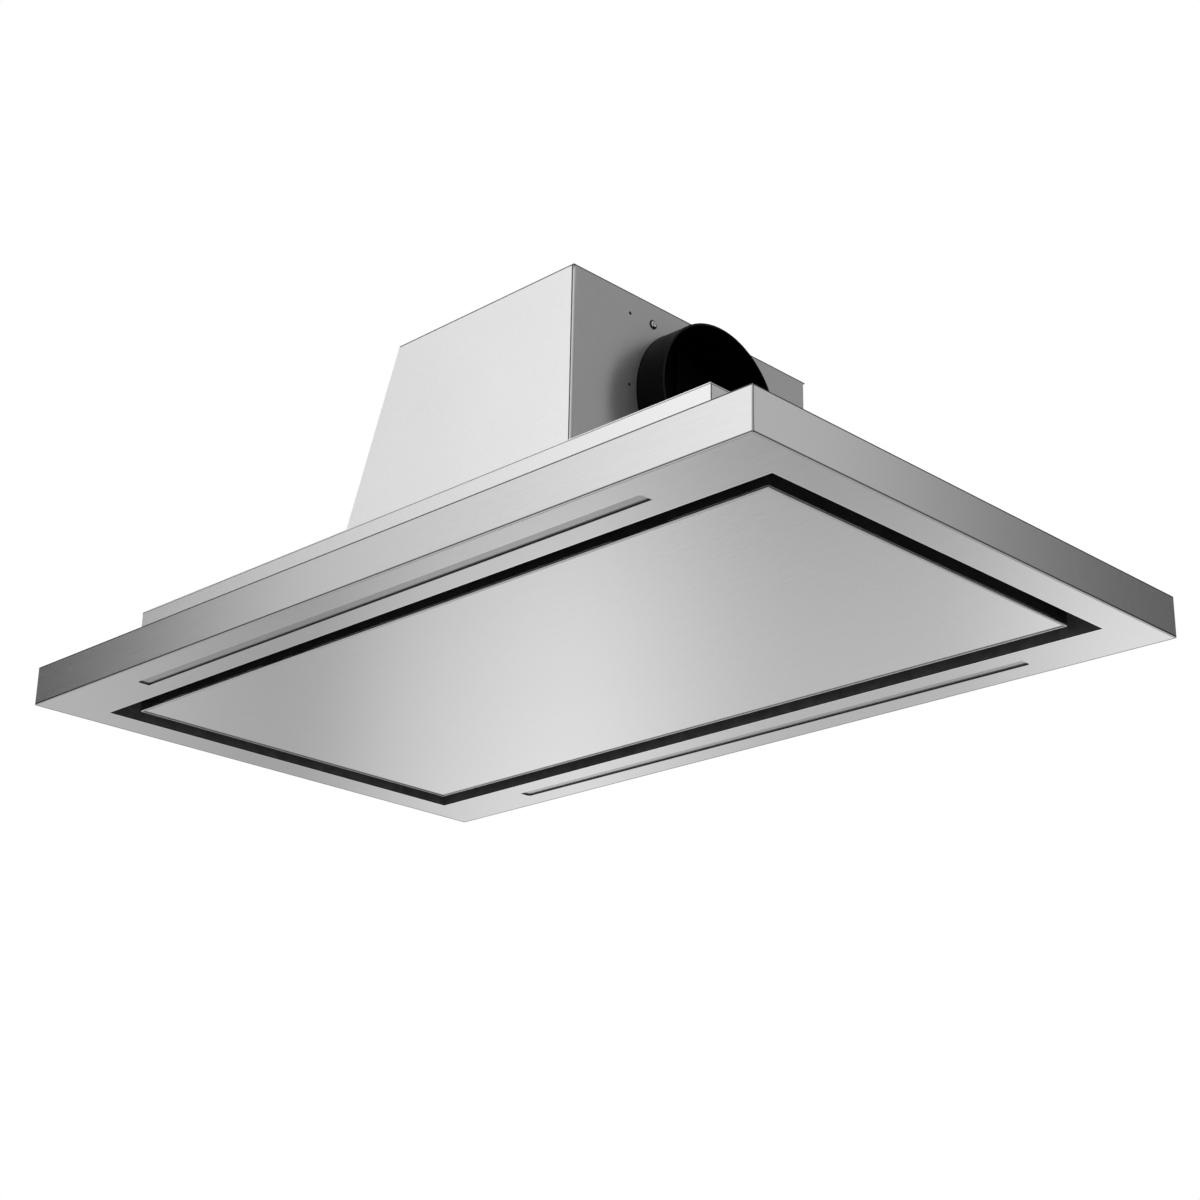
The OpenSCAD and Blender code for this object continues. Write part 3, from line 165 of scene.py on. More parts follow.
class HoodDetailSettings(bpy.types.PropertyGroup):
    """Sizes of the fine pieces that stand in for simple solids."""

    cell_length: FloatProperty(
        name="Mesh cell length", description="Long diagonal of one opening in the filters' expanded sheet",
        subtype="DISTANCE", unit="LENGTH", min=0.005, max=0.05, default=0.0156,
    )
    cell_width: FloatProperty(
        name="Mesh cell width", description="Short diagonal of one opening in the filters' expanded sheet",
        subtype="DISTANCE", unit="LENGTH", min=0.004, max=0.04, default=0.0098,
    )
    strand_width: FloatProperty(
        name="Mesh strand width", description="Width of one strand of the expanded sheet",
        subtype="DISTANCE", unit="LENGTH", min=0.0004, max=0.004, default=0.0015,
    )
    spring_turns: IntProperty(
        name="Spring turns", description="Turns of wire in each latch spring", min=2, max=20, default=6,
    )
    wire_diameter: FloatProperty(
        name="Spring wire diameter", description="Diameter of the latch springs' wire",
        subtype="DISTANCE", unit="LENGTH", min=0.0002, max=0.002, default=0.0008,
    )
    screw_recess: FloatProperty(
        name="Screw recess width", description="Width of one arm of the cross recess in a screw head",
        subtype="DISTANCE", unit="LENGTH", min=0.0004, max=0.002, default=0.0011,
    )
    # The edge lines are painted shade along seams and painted highlight along cut edges and bends.
    line_width: FloatProperty(
        name="Edge line width", description="Width of the painted shade and highlight lines along sheet edges",
        subtype="DISTANCE", unit="LENGTH", min=0.0002, max=0.004, default=0.0013,
    )
    panel_bend: FloatProperty(
        name="Panel bend", description="Outer radius of the folded edge round the perimeter panel",
        subtype="DISTANCE", unit="LENGTH", min=0.0011, max=0.003, default=0.0014,
    )
    edge_round: FloatProperty(
        name="Edge rounding", description="Width of the rounding along the sheets' cut and bent edges",
        subtype="DISTANCE", unit="LENGTH", min=0.0001, max=0.003, default=0.0006,
    )


class HoodStudioSettings(bpy.types.PropertyGroup):
    """The studio round the hood."""

    backdrop: FloatProperty(
        name="Backdrop brightness", description="Brightness of the plain backdrop behind the hood",
        min=0, max=4, default=1.0,
    )
    floor_height: FloatProperty(
        name="Floor height", description="Height of the floor under the hood",
        subtype="DISTANCE", unit="LENGTH", min=-4, max=0, default=-1.6,
    )
    floor_radius: FloatProperty(
        name="Floor radius", description="How far the pale floor reaches before it fades into the backdrop",
        subtype="DISTANCE", unit="LENGTH", min=0.5, max=10, default=2.4,
    )
    lens: FloatProperty(
        name="Lens", description="Focal length of the camera on a 36 mm wide sensor, in millimetres",
        min=10, max=300, default=67.173,
    )


def tone(colour, factor):
    """The colour, lighter or darker by that factor."""
    return tuple(min(1.0, c * factor) for c in colour)


def turns(count):
    """The angles that part a full turn into that many steps."""
    return [2 * math.pi * k / count for k in range(count)]


def height_at(elevation):
    """Height of the point at that elevation in degrees on a ball of radius 1."""
    return math.sin(math.radians(elevation))


class Graph:
    """Adds and joins the nodes of one tree."""

    def __init__(self, tree):
        self.tree = tree
        tree.nodes.clear()

    def add(self, kind, inputs=None, **settings):
        """A new node. Each input is a value, or a socket to join to."""
        node = self.tree.nodes.new(kind)
        for name, value in settings.items():
            setattr(node, name, value)
        for name, value in (inputs or {}).items():
            if isinstance(value, bpy.types.NodeSocket):
                self.tree.links.new(value, node.inputs[name])
            else:
                node.inputs[name].default_value = value
        return node

    def math(self, operation, first, second=0.0):
        return self.add("ShaderNodeMath", {0: first, 1: second}, operation=operation).outputs[0]

    def combine(self, operation, values):
        """All the values, joined by one operation."""
        total = values[0]
        for value in values[1:]:
            total = self.math(operation, total, value)
        return total

    def product(self, *masks):
        return self.combine("MULTIPLY", masks)

    def most(self, *masks):
        """The largest of several masks."""
        return self.combine("MAXIMUM", masks)

    def between(self, first, second, share):
        """The first value, turning into the second one where share is 1."""
        kept = self.math("MULTIPLY", first, self.math("SUBTRACT", 1.0, share))
        return self.math("ADD", kept, self.math("MULTIPLY", second, share))

    def remap(self, value, start, end, low=0.0, high=1.0, curve="LINEAR"):
        inputs = {"Value": value, "From Min": start, "From Max": end, "To Min": low, "To Max": high}
        return self.add("ShaderNodeMapRange", inputs, interpolation_type=curve, clamp=True).outputs["Result"]

    def spread(self, noise, low, high):
        """A noise, spread from low to high."""
        return self.remap(noise, NOISE_LOW, NOISE_HIGH, low, high)

    def own_place(self):
        """The surface's place in the hood's own frame, as one socket."""
        return self.add("ShaderNodeTexCoord").outputs["Object"]

    def place(self):
        """X, Y and Z of the surface, in metres in the hood's own frame."""
        return self.add("ShaderNodeSeparateXYZ", {"Vector": self.own_place()}).outputs

    def noise(self, scale, detail=3.0, roughness=0.5, distortion=0.0):
        """Noise whose scale is one number, or one for each axis."""
        scales = (scale,) * 3 if isinstance(scale, float) else scale
        placed = self.add("ShaderNodeMapping", {"Vector": self.own_place(), "Scale": scales}).outputs[0]
        inputs = {"Vector": placed, "Scale": 1.0, "Detail": detail, "Roughness": roughness}
        return self.add("ShaderNodeTexNoise", {**inputs, "Distortion": distortion}).outputs["Fac"]

    def cells(self, scale, feature="F1"):
        return self.add("ShaderNodeTexVoronoi", {"Vector": self.own_place(), "Scale": scale}, feature=feature)

    def apart(self, value, level=0.0):
        """Distance between the value and the level."""
        return self.math("ABSOLUTE", self.math("SUBTRACT", value, level))

    def beyond(self, value, half, middle=0.0):
        """How far the value lies past half on either side of the middle. It is negative between them."""
        return self.math("SUBTRACT", self.apart(value, middle), half)

    def line(self, away, width):
        """1 at no distance, fading to 0 at that width."""
        return self.remap(away, LINE_CORE * width, width, 1.0, 0.0)

    def near_plane(self, axis, level, width):
        """1 on the plane where that coordinate has that level, fading to 0 at that width from it."""
        return self.line(self.apart(self.place()[axis], level), width)

    def near_outline(self, half_x, half_y, width, middle_y=0.0):
        """1 along a rectangle's outline and its mirror image's in Y, fading to 0 at that width."""
        x, y, _ = self.place()
        past = self.most(self.beyond(x, half_x), self.beyond(self.apart(y), half_y, middle_y))
        return self.line(self.apart(past), width)

    def near_rim(self, low, high, width):
        """1 along the sides of a box in X and Y, fading to 0 at that width inside them."""
        x, y, _ = self.place()
        half, middle = (high - low) / 2, (low + high) / 2
        past = self.most(self.beyond(x, half.x, middle.x), self.beyond(y, half.y, middle.y))
        return self.remap(past, -width, -LINE_CORE * width)

    def blend(self, share, first, second):
        """The first colour, a socket or a value, turning into the second one where share is 1."""
        if not isinstance(first, bpy.types.NodeSocket):
            first = (*first, 1)
        inputs = {"Factor": share, FIRST_COLOUR: first, SECOND_COLOUR: (*second, 1)}
        return self.add("ShaderNodeMix", inputs, data_type="RGBA").outputs[MIXED_COLOUR]

    def shades(self, value, dark, light, start=NOISE_LOW, end=NOISE_HIGH):
        """The dark colour, turning into the light one as the value goes from start to end."""
        return self.blend(self.remap(value, start, end), dark, light)


class Finish(Graph):
    """One material with a Principled shader."""

    def __init__(self, name, **sockets):
        self.material = bpy.data.materials.new(name)
        self.material.use_nodes = True
        super().__init__(self.material.node_tree)
        self.shader = self.add("ShaderNodeBsdfPrincipled")
        self.add("ShaderNodeOutputMaterial", {"Surface": self.shader.outputs["BSDF"]})
        for socket, value in sockets.items():
            self.shader.inputs[socket.replace("_", " ")].default_value = value

    def lined(self, shade, colour, *lines):
        """The shade with lines on it. Each is a function that gives its mask, and its tone of the colour."""
        for mask, factor in lines:
            if mask is not None:
                shade = self.blend(mask(self), shade, tone(colour, factor))
        return shade

    def surface(self, shade, roughness, height, strength, distance):
        """The finished material: its colour, its roughness, and its bumps' height, strength and size."""
        bumps = self.add("ShaderNodeBump", {"Height": height, "Strength": strength, "Distance": distance})
        driven = {"Base Color": shade, "Roughness": roughness, "Normal": bumps.outputs["Normal"]}
        for socket, value in driven.items():
            self.tree.links.new(value, self.shader.inputs[socket])
        return self.material


def brushed_steel(name, grain, dark=None, bright=None, lift=1.0, blur=0.0):
    """Brushed stainless sheet whose fine streaks run along the axis given by grain.
    dark and bright take the finish and give the masks of its painted shade lines and of its painted highlight
    lines.
    lift lightens the sheet and blur roughens it."""
    settings = bpy.context.scene.hood_finish
    finish = Finish(name, Metallic=1.0)
    fine, broad = [2200.0] * 3, [620.0] * 3
    fine[grain], broad[grain] = 60.0, 16.0
    streaks = finish.noise(fine, detail=2.0, roughness=0.6)
    mixed = finish.between(finish.noise(broad, detail=2.0), streaks, 0.72)
    contrast, strength = (0.012, 0.02) if blur else (0.05, 0.06)
    colour, gloss = tone(settings.steel_colour, lift), settings.steel_roughness + blur
    shade = finish.shades(mixed, tone(colour, 1 - contrast), tone(colour, 1 + contrast), 0.32, 0.68)
    # Painted highlight lines at 1.5 times the colour and painted shade lines at a tenth of it.
    shade = finish.lined(shade, colour, (bright, 1.5), (dark, 0.10))
    cloud = finish.spread(finish.noise(3.0, detail=2.0), -0.006, 0.006)
    roughness = finish.math("ADD", finish.spread(mixed, gloss - 0.02, gloss + 0.025), cloud)
    return finish.surface(shade, roughness, mixed, strength, 0.00005)


def matt_sheet(name, dark=None, bright=None, lift=1.0):
    """Pale, finely blasted sheet of the motor box.
    dark and bright take the finish and give the masks of its painted shade lines and of its painted highlight
    lines."""
    settings = bpy.context.scene.hood_finish
    finish = Finish(name, Metallic=0.85, IOR=1.5)
    powder = finish.noise(1100.0, detail=2.5, roughness=0.75)
    grain = finish.between(finish.noise(6.0), powder, 0.85)
    colour, gloss = tone(settings.sheet_colour, lift), settings.sheet_roughness
    shade = finish.shades(grain, tone(colour, 0.90), tone(colour, 1.10))
    # Painted highlight lines at 1.6 times the colour and painted shade lines at 0.22 of it.
    shade = finish.lined(shade, colour, (bright, 1.6), (dark, 0.22))
    return finish.surface(shade, finish.spread(powder, gloss - 0.05, gloss + 0.05), powder, 0.14, 0.00008)


def satin_paint(name, colour, gloss=0.42, specular=0.3):
    """Sprayed satin paint with a slight orange peel."""
    finish = Finish(name, Specular_IOR_Level=specular)
    peel, dust = finish.noise(520.0, detail=1.5), finish.noise(60.0, detail=4.0)
    shade = finish.shades(dust, tone(colour, 0.8), tone(colour, 1.25))
    return finish.surface(shade, finish.spread(dust, gloss - 0.05, gloss + 0.06), peel, 0.16, 0.0002)


def moulded_plastic(name, colour, gloss=0.34, specular=0.3, inside=None, rim_highlight=None):
    """Moulded plastic with the faint texture of its tool.
    Each mask takes the finish: inside gives the painted shade in the bore, the other one the painted
    highlight along the rim."""
    finish = Finish(name, Specular_IOR_Level=specular)
    texture, flow = finish.noise(1900.0, detail=2.0), finish.noise(14.0, distortion=0.6)
    shade = finish.shades(flow, tone(colour, 0.85), tone(colour, 1.18))
    # Painted shade in the bore at 0.15 of the colour, and a painted highlight along the rim at 3 times it.
    shade = finish.lined(shade, colour, (inside, 0.15), (rim_highlight, 3.0))
    return finish.surface(shade, finish.spread(flow, gloss - 0.04, gloss + 0.05), texture, 0.10, 0.00008)


def zinc_sheet(name):
    """Galvanised sheet with its spangle of crystals."""
    finish = Finish(name, Metallic=0.92)
    spangle = finish.cells(130.0).outputs["Color"]
    crystals = finish.add("ShaderNodeSeparateColor", {"Color": spangle}).outputs[0]
    stain = finish.noise(18.0, detail=4.0)
    mixed = finish.between(stain, crystals, 0.6)
    shade = finish.shades(mixed, (0.47, 0.48, 0.49), (0.60, 0.61, 0.62), 0.1, 0.8)
    return finish.surface(shade, finish.remap(mixed, 0.1, 0.8, 0.50, 0.33), stain, 0.08, 0.0003)


def bright_metal(name, colour=(0.60, 0.60, 0.59), gloss=0.24, scratch=(90.0, 90.0, 1200.0)):
    """Turned or drawn bright metal with fine handling marks."""
    finish = Finish(name, Metallic=1.0)
    marks = finish.noise(scratch, roughness=0.65)
    shade = finish.shades(marks, tone(colour, 0.9), tone(colour, 1.08))
    return finish.surface(shade, finish.spread(marks, gloss - 0.05, gloss + 0.08), marks, 0.08, 0.0001)


def rolled_aluminium(name, colour=(0.70, 0.71, 0.72), gloss=0.3):
    """Rolled aluminium strip with its rolling lines along Y."""
    finish = Finish(name, Metallic=1.0)
    lines, film = finish.noise((900.0, 16.0, 900.0), detail=2.5), finish.noise(22.0)
    shade = finish.shades(lines, tone(colour, 0.93), tone(colour, 1.05))
    rolled, dulled = finish.spread(lines, gloss - 0.04, gloss + 0.05), finish.spread(film, -0.02, 0.05)
    return finish.surface(shade, finish.math("ADD", rolled, dulled), lines, 0.07, 0.0001)


def rubber(name):
    """Soft black rubber with a dry bloom."""
    finish = Finish(name, Specular_IOR_Level=0.25)
    bloom = finish.noise(240.0, detail=4.0)
    shade = finish.shades(bloom, (0.013, 0.013, 0.013), (0.030, 0.029, 0.028))
    return finish.surface(shade, finish.spread(bloom, 0.62, 0.80), bloom, 0.15, 0.0002)


def lead_jacket(name):
    """The grey jacket of the motor lead, with the faint wrap of the cores below it."""
    finish = Finish(name, Specular_IOR_Level=0.35)
    wrap = finish.noise((700.0, 60.0, 700.0), detail=2.0)
    shade = finish.shades(wrap, (0.055, 0.056, 0.058), (0.085, 0.086, 0.088))
    return finish.surface(shade, finish.spread(wrap, 0.42, 0.55), wrap, 0.18, 0.0002)


def circuit_board(name):
    """Green lacquered board with the lighter copper below the lacquer."""
    finish = Finish(name, Coat_Weight=0.35, Coat_Roughness=0.12)
    tracks = finish.cells(420.0, feature="DISTANCE_TO_EDGE").outputs["Distance"]
    pads = finish.noise(300.0, detail=2.0)
    copper = finish.product(finish.remap(tracks, 0.05, 0.11, 1.0, 0.0), finish.remap(pads, 0.45, 0.55))
    shade = finish.shades(copper, (0.010, 0.085, 0.032), (0.040, 0.190, 0.075), 0.0, 1.0)
    return finish.surface(shade, finish.spread(pads, 0.30, 0.42), copper, 0.3, 0.00005)


def frosted_diffuser(name):
    """Frosted strip that spreads the light of the board behind it."""
    colour = bpy.context.scene.hood_finish.diffuser_colour
    finish = Finish(name, IOR=1.49, Metallic=0.5)
    frost, ribs = finish.noise(2600.0, detail=2.0), finish.noise((9.0, 500.0, 500.0), detail=1.0)
    shade = finish.shades(finish.between(ribs, frost, 0.6), tone(colour, 0.94), tone(colour, 1.06))
    return finish.surface(shade, finish.spread(frost, 0.10, 0.15), frost, 0.12, 0.00006)


def motor_enamel(name):
    """Grey stoved enamel of the motor can, over its drawn steel."""
    finish = Finish(name, Metallic=0.25, Coat_Weight=0.2, Coat_Roughness=0.25)
    peel, grime = finish.noise(430.0, detail=2.0), finish.noise(30.0, detail=4.0)
    shade = finish.shades(grime, (0.15, 0.155, 0.16), (0.21, 0.215, 0.22))
    return finish.surface(shade, finish.spread(grime, 0.36, 0.50), peel, 0.15, 0.0002)


def frame_opening():
    """Half length and half width of the opening, from the frame's inner faces."""
    points = [v.co for v in NODES["inlet_frame"].data.vertices]
    return min(abs(p.x) for p in points), min(abs(p.y) for p in points)


def slot_outline():
    """Half length of a light slot, the middle of it along Y and its half width."""
    points = [v.co for v in NODES["light_diffusers"].data.vertices]
    y = [abs(p.y) for p in points]
    return max(abs(p.x) for p in points), (min(y) + max(y)) / 2, (max(y) - min(y)) / 2


def dress(names, material):
    """Gives CAD nodes their material."""
    for name in names:
        mesh = NODES[name].data
        mesh.materials.clear()
        mesh.materials.append(material)


def round_edges(names, width):
    """Rounds the cut and bent edges of a sheet, so that they catch the light as deburred edges do."""
    flat_angle, sharp_angle = math.radians(0.6), math.radians(32)
    for name in names:
        piece = NODES[name]
        weld = piece.modifiers.new("Join seams", "WELD")
        weld.merge_threshold = SEAM_GAP
        flat = piece.modifiers.new("Merge flats", "DECIMATE")
        flat.decimate_type = "DISSOLVE"
        flat.angle_limit = flat_angle
        bevel = piece.modifiers.new("Edge rounding", "BEVEL")
        bevel.width, bevel.segments = width, 2
        bevel.limit_method, bevel.angle_limit = "ANGLE", sharp_angle
        bevel.harden_normals = True
        bevel.use_clamp_overlap = True


def add_piece(name, mesh, materials, body, stands_for=(), place=None):
    """Links a new piece to the scene, in place, on its body and with its material slot."""
    piece = bpy.data.objects.new(name, mesh)
    bpy.context.scene.collection.objects.link(piece)
    if not mesh.materials:
        for material in materials:
            mesh.materials.append(material)
    if place is not None:
        piece.matrix_world = place
    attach(piece, body)
    if stands_for:
        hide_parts(*stands_for)
    return piece


def mesh_of(name, points, faces, smooth=True):
    mesh = bpy.data.meshes.new(name)
    mesh.from_pydata([tuple(p) for p in points], [], faces)
    mesh.update()
    mesh.polygons.foreach_set("use_smooth", [smooth] * len(mesh.polygons))
    return mesh


def strip(here, there, count):
    """Faces between two closed rings of points, from the number of the first point of each."""
    return [(here + k, here + (k + 1) % count, there + (k + 1) % count, there + k) for k in range(count)]


def tube_mesh(name, path, radius, sides=8):
    """A round wire along a path, closed at both ends."""
    path = np.array(path, float)
    along = np.gradient(path, axis=0)
    along /= np.linalg.norm(along, axis=1)[:, None]
    side = np.cross(along[0], (0.0, 0.0, 1.0) if abs(along[0][2]) < 0.9 else (1.0, 0.0, 0.0))
    points, faces = [], []
    for step, (centre, way) in enumerate(zip(path, along)):
        side = side - way * (side @ way)
        side /= np.linalg.norm(side)
        other = np.cross(way, side)
        points += [centre + radius * (math.cos(a) * side + math.sin(a) * other) for a in turns(sides)]
        if step:
            faces += strip((step - 1) * sides, step * sides, sides)
    faces.append(tuple(range(sides))[::-1])
    faces.append(tuple(range(len(points) - sides, len(points))))
    return mesh_of(name, points, faces)


def folded_tray(name, low, high, bend, steps=9):
    """A sheet folded up all round, open at the top, with rounded bends along its edges and in its corners.
    A narrow rim stands below its flat face, by the sheet's gauge."""
    corners = [(sx * (high.x - bend), sy * (high.y - bend), start)
               for sx, sy, start in ((1, 1, 0), (-1, 1, 90), (-1, -1, 180), (1, -1, 270))]
    bends = [90.0 * k / steps for k in range(steps + 1)]
    crease, inner = 0.0005 * bend, bend - SHEET_GAUGE

    def ring(radius, level, inset=0.0):
        """The tray's outline at one level, with its rounded corners."""
        points = []
        for x, y, start in corners:
            x, y = x - math.copysign(inset, x), y - math.copysign(inset, y)
            ways = [math.radians(start + a) for a in bends]
            points += [(x + radius * math.cos(way), y + radius * math.sin(way), level) for way in ways]
        return points

    def bent(radius, angle):
        """One ring on the bend of that radius."""
        turn = math.radians(angle)
        return ring(radius * math.cos(turn), low.z + bend - radius * math.sin(turn))

    outside = [ring(bend, high.z), *(bent(bend, a) for a in bends[:-1])]
    underside = [ring(crease, low.z), ring(crease, low.z, bend), ring(crease, low.z + SHEET_GAUGE)]
    inside = [*(bent(inner, a) for a in bends[-2::-1]), ring(inner, high.z)]
    rings = outside + underside + inside
    points = [point for outline in rings for point in outline]
    count, flat = len(rings[0]), len(outside) + len(underside) - 1
    faces = []
    for number in range(len(rings)):
        if number != flat:
            here, there = number * count, (number + 1) % len(rings) * count
            pairs = [(k, (k + 1) % count) for k in range(count)]
            faces += [(here + k, there + k, there + beside, here + beside) for k, beside in pairs]
    faces.append(tuple(flat * count + k for k in range(count))[::-1])
    faces.append(tuple((flat + 1) * count + k for k in range(count)))
    return mesh_of(name, points, faces)


def expanded_sheet(width, length, cell_length, cell_width, strand, height):
    """Points and faces of one expanded metal sheet, centred, its long diagonals along X."""
    columns = int(width / (cell_length / 2)) // 2 * 2
    rows = int(length / (cell_width / 2)) // 2 * 2
    run, rise = width / columns, length / (rows + 1)
    points, faces = [], []
    for row in range(rows + 1):
        first = len(points)
        for column in range(columns + 1):
            x = -width / 2 + column * run
            swing = 1 if (row + column) % 2 else -1
            y = -length / 2 + (row + 0.5) * rise + swing * (rise / 2 - strand * 0.25)
            lift = height + swing * STRAND_TILT / 2
            for edge, level in ((0.5, 0.5), (0.5, -0.5), (-0.5, -0.5), (-0.5, 0.5)):
                points.append((x, y + edge * strand, lift + edge * 2 * STRAND_TILT + level * STRAND_GAUGE))
        for column in range(columns):
            low = first + column * 4
            faces += [(low + k, low + 4 + k, low + 4 + (k + 1) % 4, low + (k + 1) % 4) for k in range(4)]
    return points, faces


def pad_sheet(width, length, height, wave, across=44, down=80):
    """Points and faces of one crumpled layer of the filter's packing."""
    random = np.random.default_rng(CRUMPLE_SEED)
    lift = height + wave * (random.random((down + 1, across + 1)) - 0.5)
    points = [(-width / 2 + width * i / across, -length / 2 + length * j / down, lift[j, i])
              for j in range(down + 1) for i in range(across + 1)]
    corners = [j * (across + 1) + i for j in range(down) for i in range(across)]
    faces = [(k, k + 1, k + across + 2, k + across + 1) for k in corners]
    return points, faces


def screw_mesh(name, head_radius, head_height, shank_radius, shank_length, recess, count=24):
    """A pan head screw along +Z, its head's seat at zero, with a cross recess in the head."""
    reach, recess_depth = 0.56 * head_radius, 0.55 * head_height
    rim_height, dome = 0.52 * head_height, 0.48 * head_height

    def arm(across, along):
        """1 in one arm of the cross recess, falling to 0 at its sides and its ends."""
        side = min(1.0, max(0.0, (recess / 2 - abs(across)) / (recess * 0.35)))
        return side * min(1.0, max(0.0, (reach - abs(along)) / (reach * 0.25)))

    points, faces = [], []
    for j in range(count + 1):
        for i in range(count + 1):
            u, v = 2 * i / count - 1, 2 * j / count - 1
            x, y = u * math.sqrt(1 - v * v / 2), v * math.sqrt(1 - u * u / 2)
            away = min(1.0, math.hypot(x, y))
            crown = rim_height + dome * math.sqrt(max(0.0, 1 - away ** 3))
            x, y = x * head_radius, y * head_radius
            points.append((x, y, crown - recess_depth * max(arm(y, x), arm(x, y))))
    for j in range(count):
        for i in range(count):
            low = j * (count + 1) + i
            faces.append((low, low + 1, low + count + 2, low + count + 1))
    rim = list(range(count + 1))
    rim += [(j + 1) * (count + 1) - 1 for j in range(1, count + 1)]
    rim += [count * (count + 1) + i for i in range(count - 1, -1, -1)]
    rim += [j * (count + 1) for j in range(count - 1, 0, -1)]
    rings = [rim]
    profile = ((head_radius, 0.18 * head_height), (head_radius * 0.94, 0.0), (shank_radius, 0.0),
               (shank_radius, -0.8 * shank_length), (shank_radius * 0.35, -shank_length))
    for radius, level in profile:
        first = len(points)
        for k in rim:
            x, y, _ = points[k]
            size = math.hypot(x, y)
            points.append((x / size * radius, y / size * radius, level))
        rings.append(list(range(first, len(points))))
    total = len(rim)
    for upper, lower in zip(rings, rings[1:]):
        faces += [(upper[k], lower[k], lower[(k + 1) % total], upper[(k + 1) % total]) for k in range(total)]
    faces.append(tuple(rings[-1])[::-1])
    return mesh_of(name, points, faces)


def washer_mesh(name, inner, outer, height, count=40):
    """A cup washer along +Z, its seat at zero, domed between its inner and its outer rim."""
    width = outer - inner
    profile = [(outer, 0.0), (outer - 0.1 * width, 0.55 * height), (outer - 0.4 * width, 0.95 * height),
               (inner + 0.2 * width, height), (inner, 0.85 * height), (inner, 0.0)]
    points = [(radius * math.cos(turn), radius * math.sin(turn), level)
              for radius, level in profile for turn in turns(count)]
    faces = []
    for j in range(len(profile)):
        faces += strip(j * count, (j + 1) % len(profile) * count, count)
    return mesh_of(name, points, faces)


def loose_parts(shape):
    """The points of each loose part, part by part in the mesh's own order."""
    seen, parts = set(), []
    for start in shape.verts:
        if start in seen:
            continue
        seen.add(start)
        part = [start]
        for point in part:
            for edge in point.link_edges:
                other = edge.other_vert(point)
                if other not in seen:
                    seen.add(other)
                    part.append(other)
        parts.append([Vector(point.co) for point in part])
    return parts


def screw_places():
    """Centre, outward direction and length of each CAD screw, from the loose parts of its node."""
    shape = bmesh.new()
    shape.from_mesh(NODES["screws"].data)
    bmesh.ops.remove_doubles(shape, verts=shape.verts, dist=POINT_GAP)
    places = []
    for part in loose_parts(shape):
        low = Vector([min(p[k] for p in part) for k in (X, Y, Z)])
        high = Vector([max(p[k] for p in part) for k in (X, Y, Z)])
        size, middle = high - low, (low + high) / 2
        axis = max((X, Y, Z), key=lambda k: size[k])
        outward = Vector([float(k == axis) for k in (X, Y, Z)])
        radii = []
        for end in (low[axis], high[axis]):
            ways = [p - middle for p in part if abs(p[axis] - end) < END_GAP]
            radii.append(max((way - way.project(outward)).length for way in ways))
        if radii[1] <= radii[0]:
            outward.negate()
        places.append((middle, outward, size[axis]))
    shape.free()
    return places


class HOOD_OT_canopy_steel(bpy.types.Operator):
    """Dress the canopy: bottom flange, four fascias, plenum walls, top sheet, deck and hanger brackets"""

    bl_idname = "hood.canopy_steel"
    bl_label = "Canopy steel"

    def execute(self, context):
        low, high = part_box("front_fascia")
        wall_low, wall_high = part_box("plenum_front")
        wall_side, wall_end = -wall_low.y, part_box("plenum_right")[1].x
        line = context.scene.hood_detail.line_width
        end, side = frame_opening()
        slot_end, slot_middle, slot_half = slot_outline()

        def fold_lines(finish):
            """Painted shade lines along a fascia's folded edges, at its seams above and below."""
            x, y, z = finish.place()
            past = finish.most(finish.beyond(x, CAD_BOX[1][0]), finish.beyond(y, CAD_BOX[1][1]))
            above_bend = finish.remap(z, low.z + 0.2 * line, low.z + 0.4 * line)
            bottom, top = finish.near_plane(Z, low.z, 2.1 * line), finish.near_plane(Z, high.z, 1.4 * line)
            outside = finish.remap(past, -0.4 * line, -0.2 * line)
            return finish.product(finish.most(bottom, top), above_bend, outside)

        def rim_lines(finish):
            """Painted shade lines along the plenum's top edge and down its corners."""
            x, y, _ = finish.place()
            by_end = finish.remap(finish.apart(x), wall_end - line, wall_end - LINE_CORE * line)
            by_side = finish.remap(finish.apart(y), wall_side - line, wall_side - LINE_CORE * line)
            top = finish.product(finish.near_plane(Z, wall_high.z, line), 0.8)
            return finish.most(top, finish.math("MINIMUM", by_end, by_side))

        def cut_edges(finish):
            """Painted highlight line round the opening."""
            return finish.near_outline(end, side, line)

        def cut_walls(finish):
            """The sheet's cut walls in the opening and the light slots, which face the dark inside; painted
            shade darkens them.
            """
            slots = finish.near_outline(slot_end, slot_half, line, slot_middle)
            above_face = finish.remap(finish.place()[Z], low.z + 0.15 * line, low.z + 0.45 * line)
            return finish.product(finish.most(cut_edges(finish), slots), above_face)

        flange = brushed_steel("Brushed stainless of the flange", X, dark=cut_walls, bright=cut_edges)
        dress(("bottom_flange",), flange)
        dress(("front_fascia", "rear_fascia"), brushed_steel("Brushed stainless along X", X, dark=fold_lines))
        dress(("left_fascia", "right_fascia"), brushed_steel("Brushed stainless along Z", Z, dark=fold_lines))
        # The plenum walls are the fascias' stainless drawn 1.25 times lighter: painted light.
        plenum = {"dark": rim_lines, "lift": 1.25, "blur": 0.10}
        dress(("plenum_front", "plenum_rear"), brushed_steel("Brushed plenum along X", X, **plenum))
        dress(("plenum_left", "plenum_right"), brushed_steel("Brushed plenum along Y", Y, **plenum))
        dress(("canopy_top", "plenum_deck"), matt_sheet("Matt pale sheet of the canopy"))
        dress(("hanger_brackets",), zinc_sheet("Galvanised hanger"))
        sheets = ("bottom_flange", "front_fascia", "rear_fascia", "left_fascia", "right_fascia")
        round_edges(sheets, context.scene.hood_detail.edge_round)
        return {"FINISHED"}


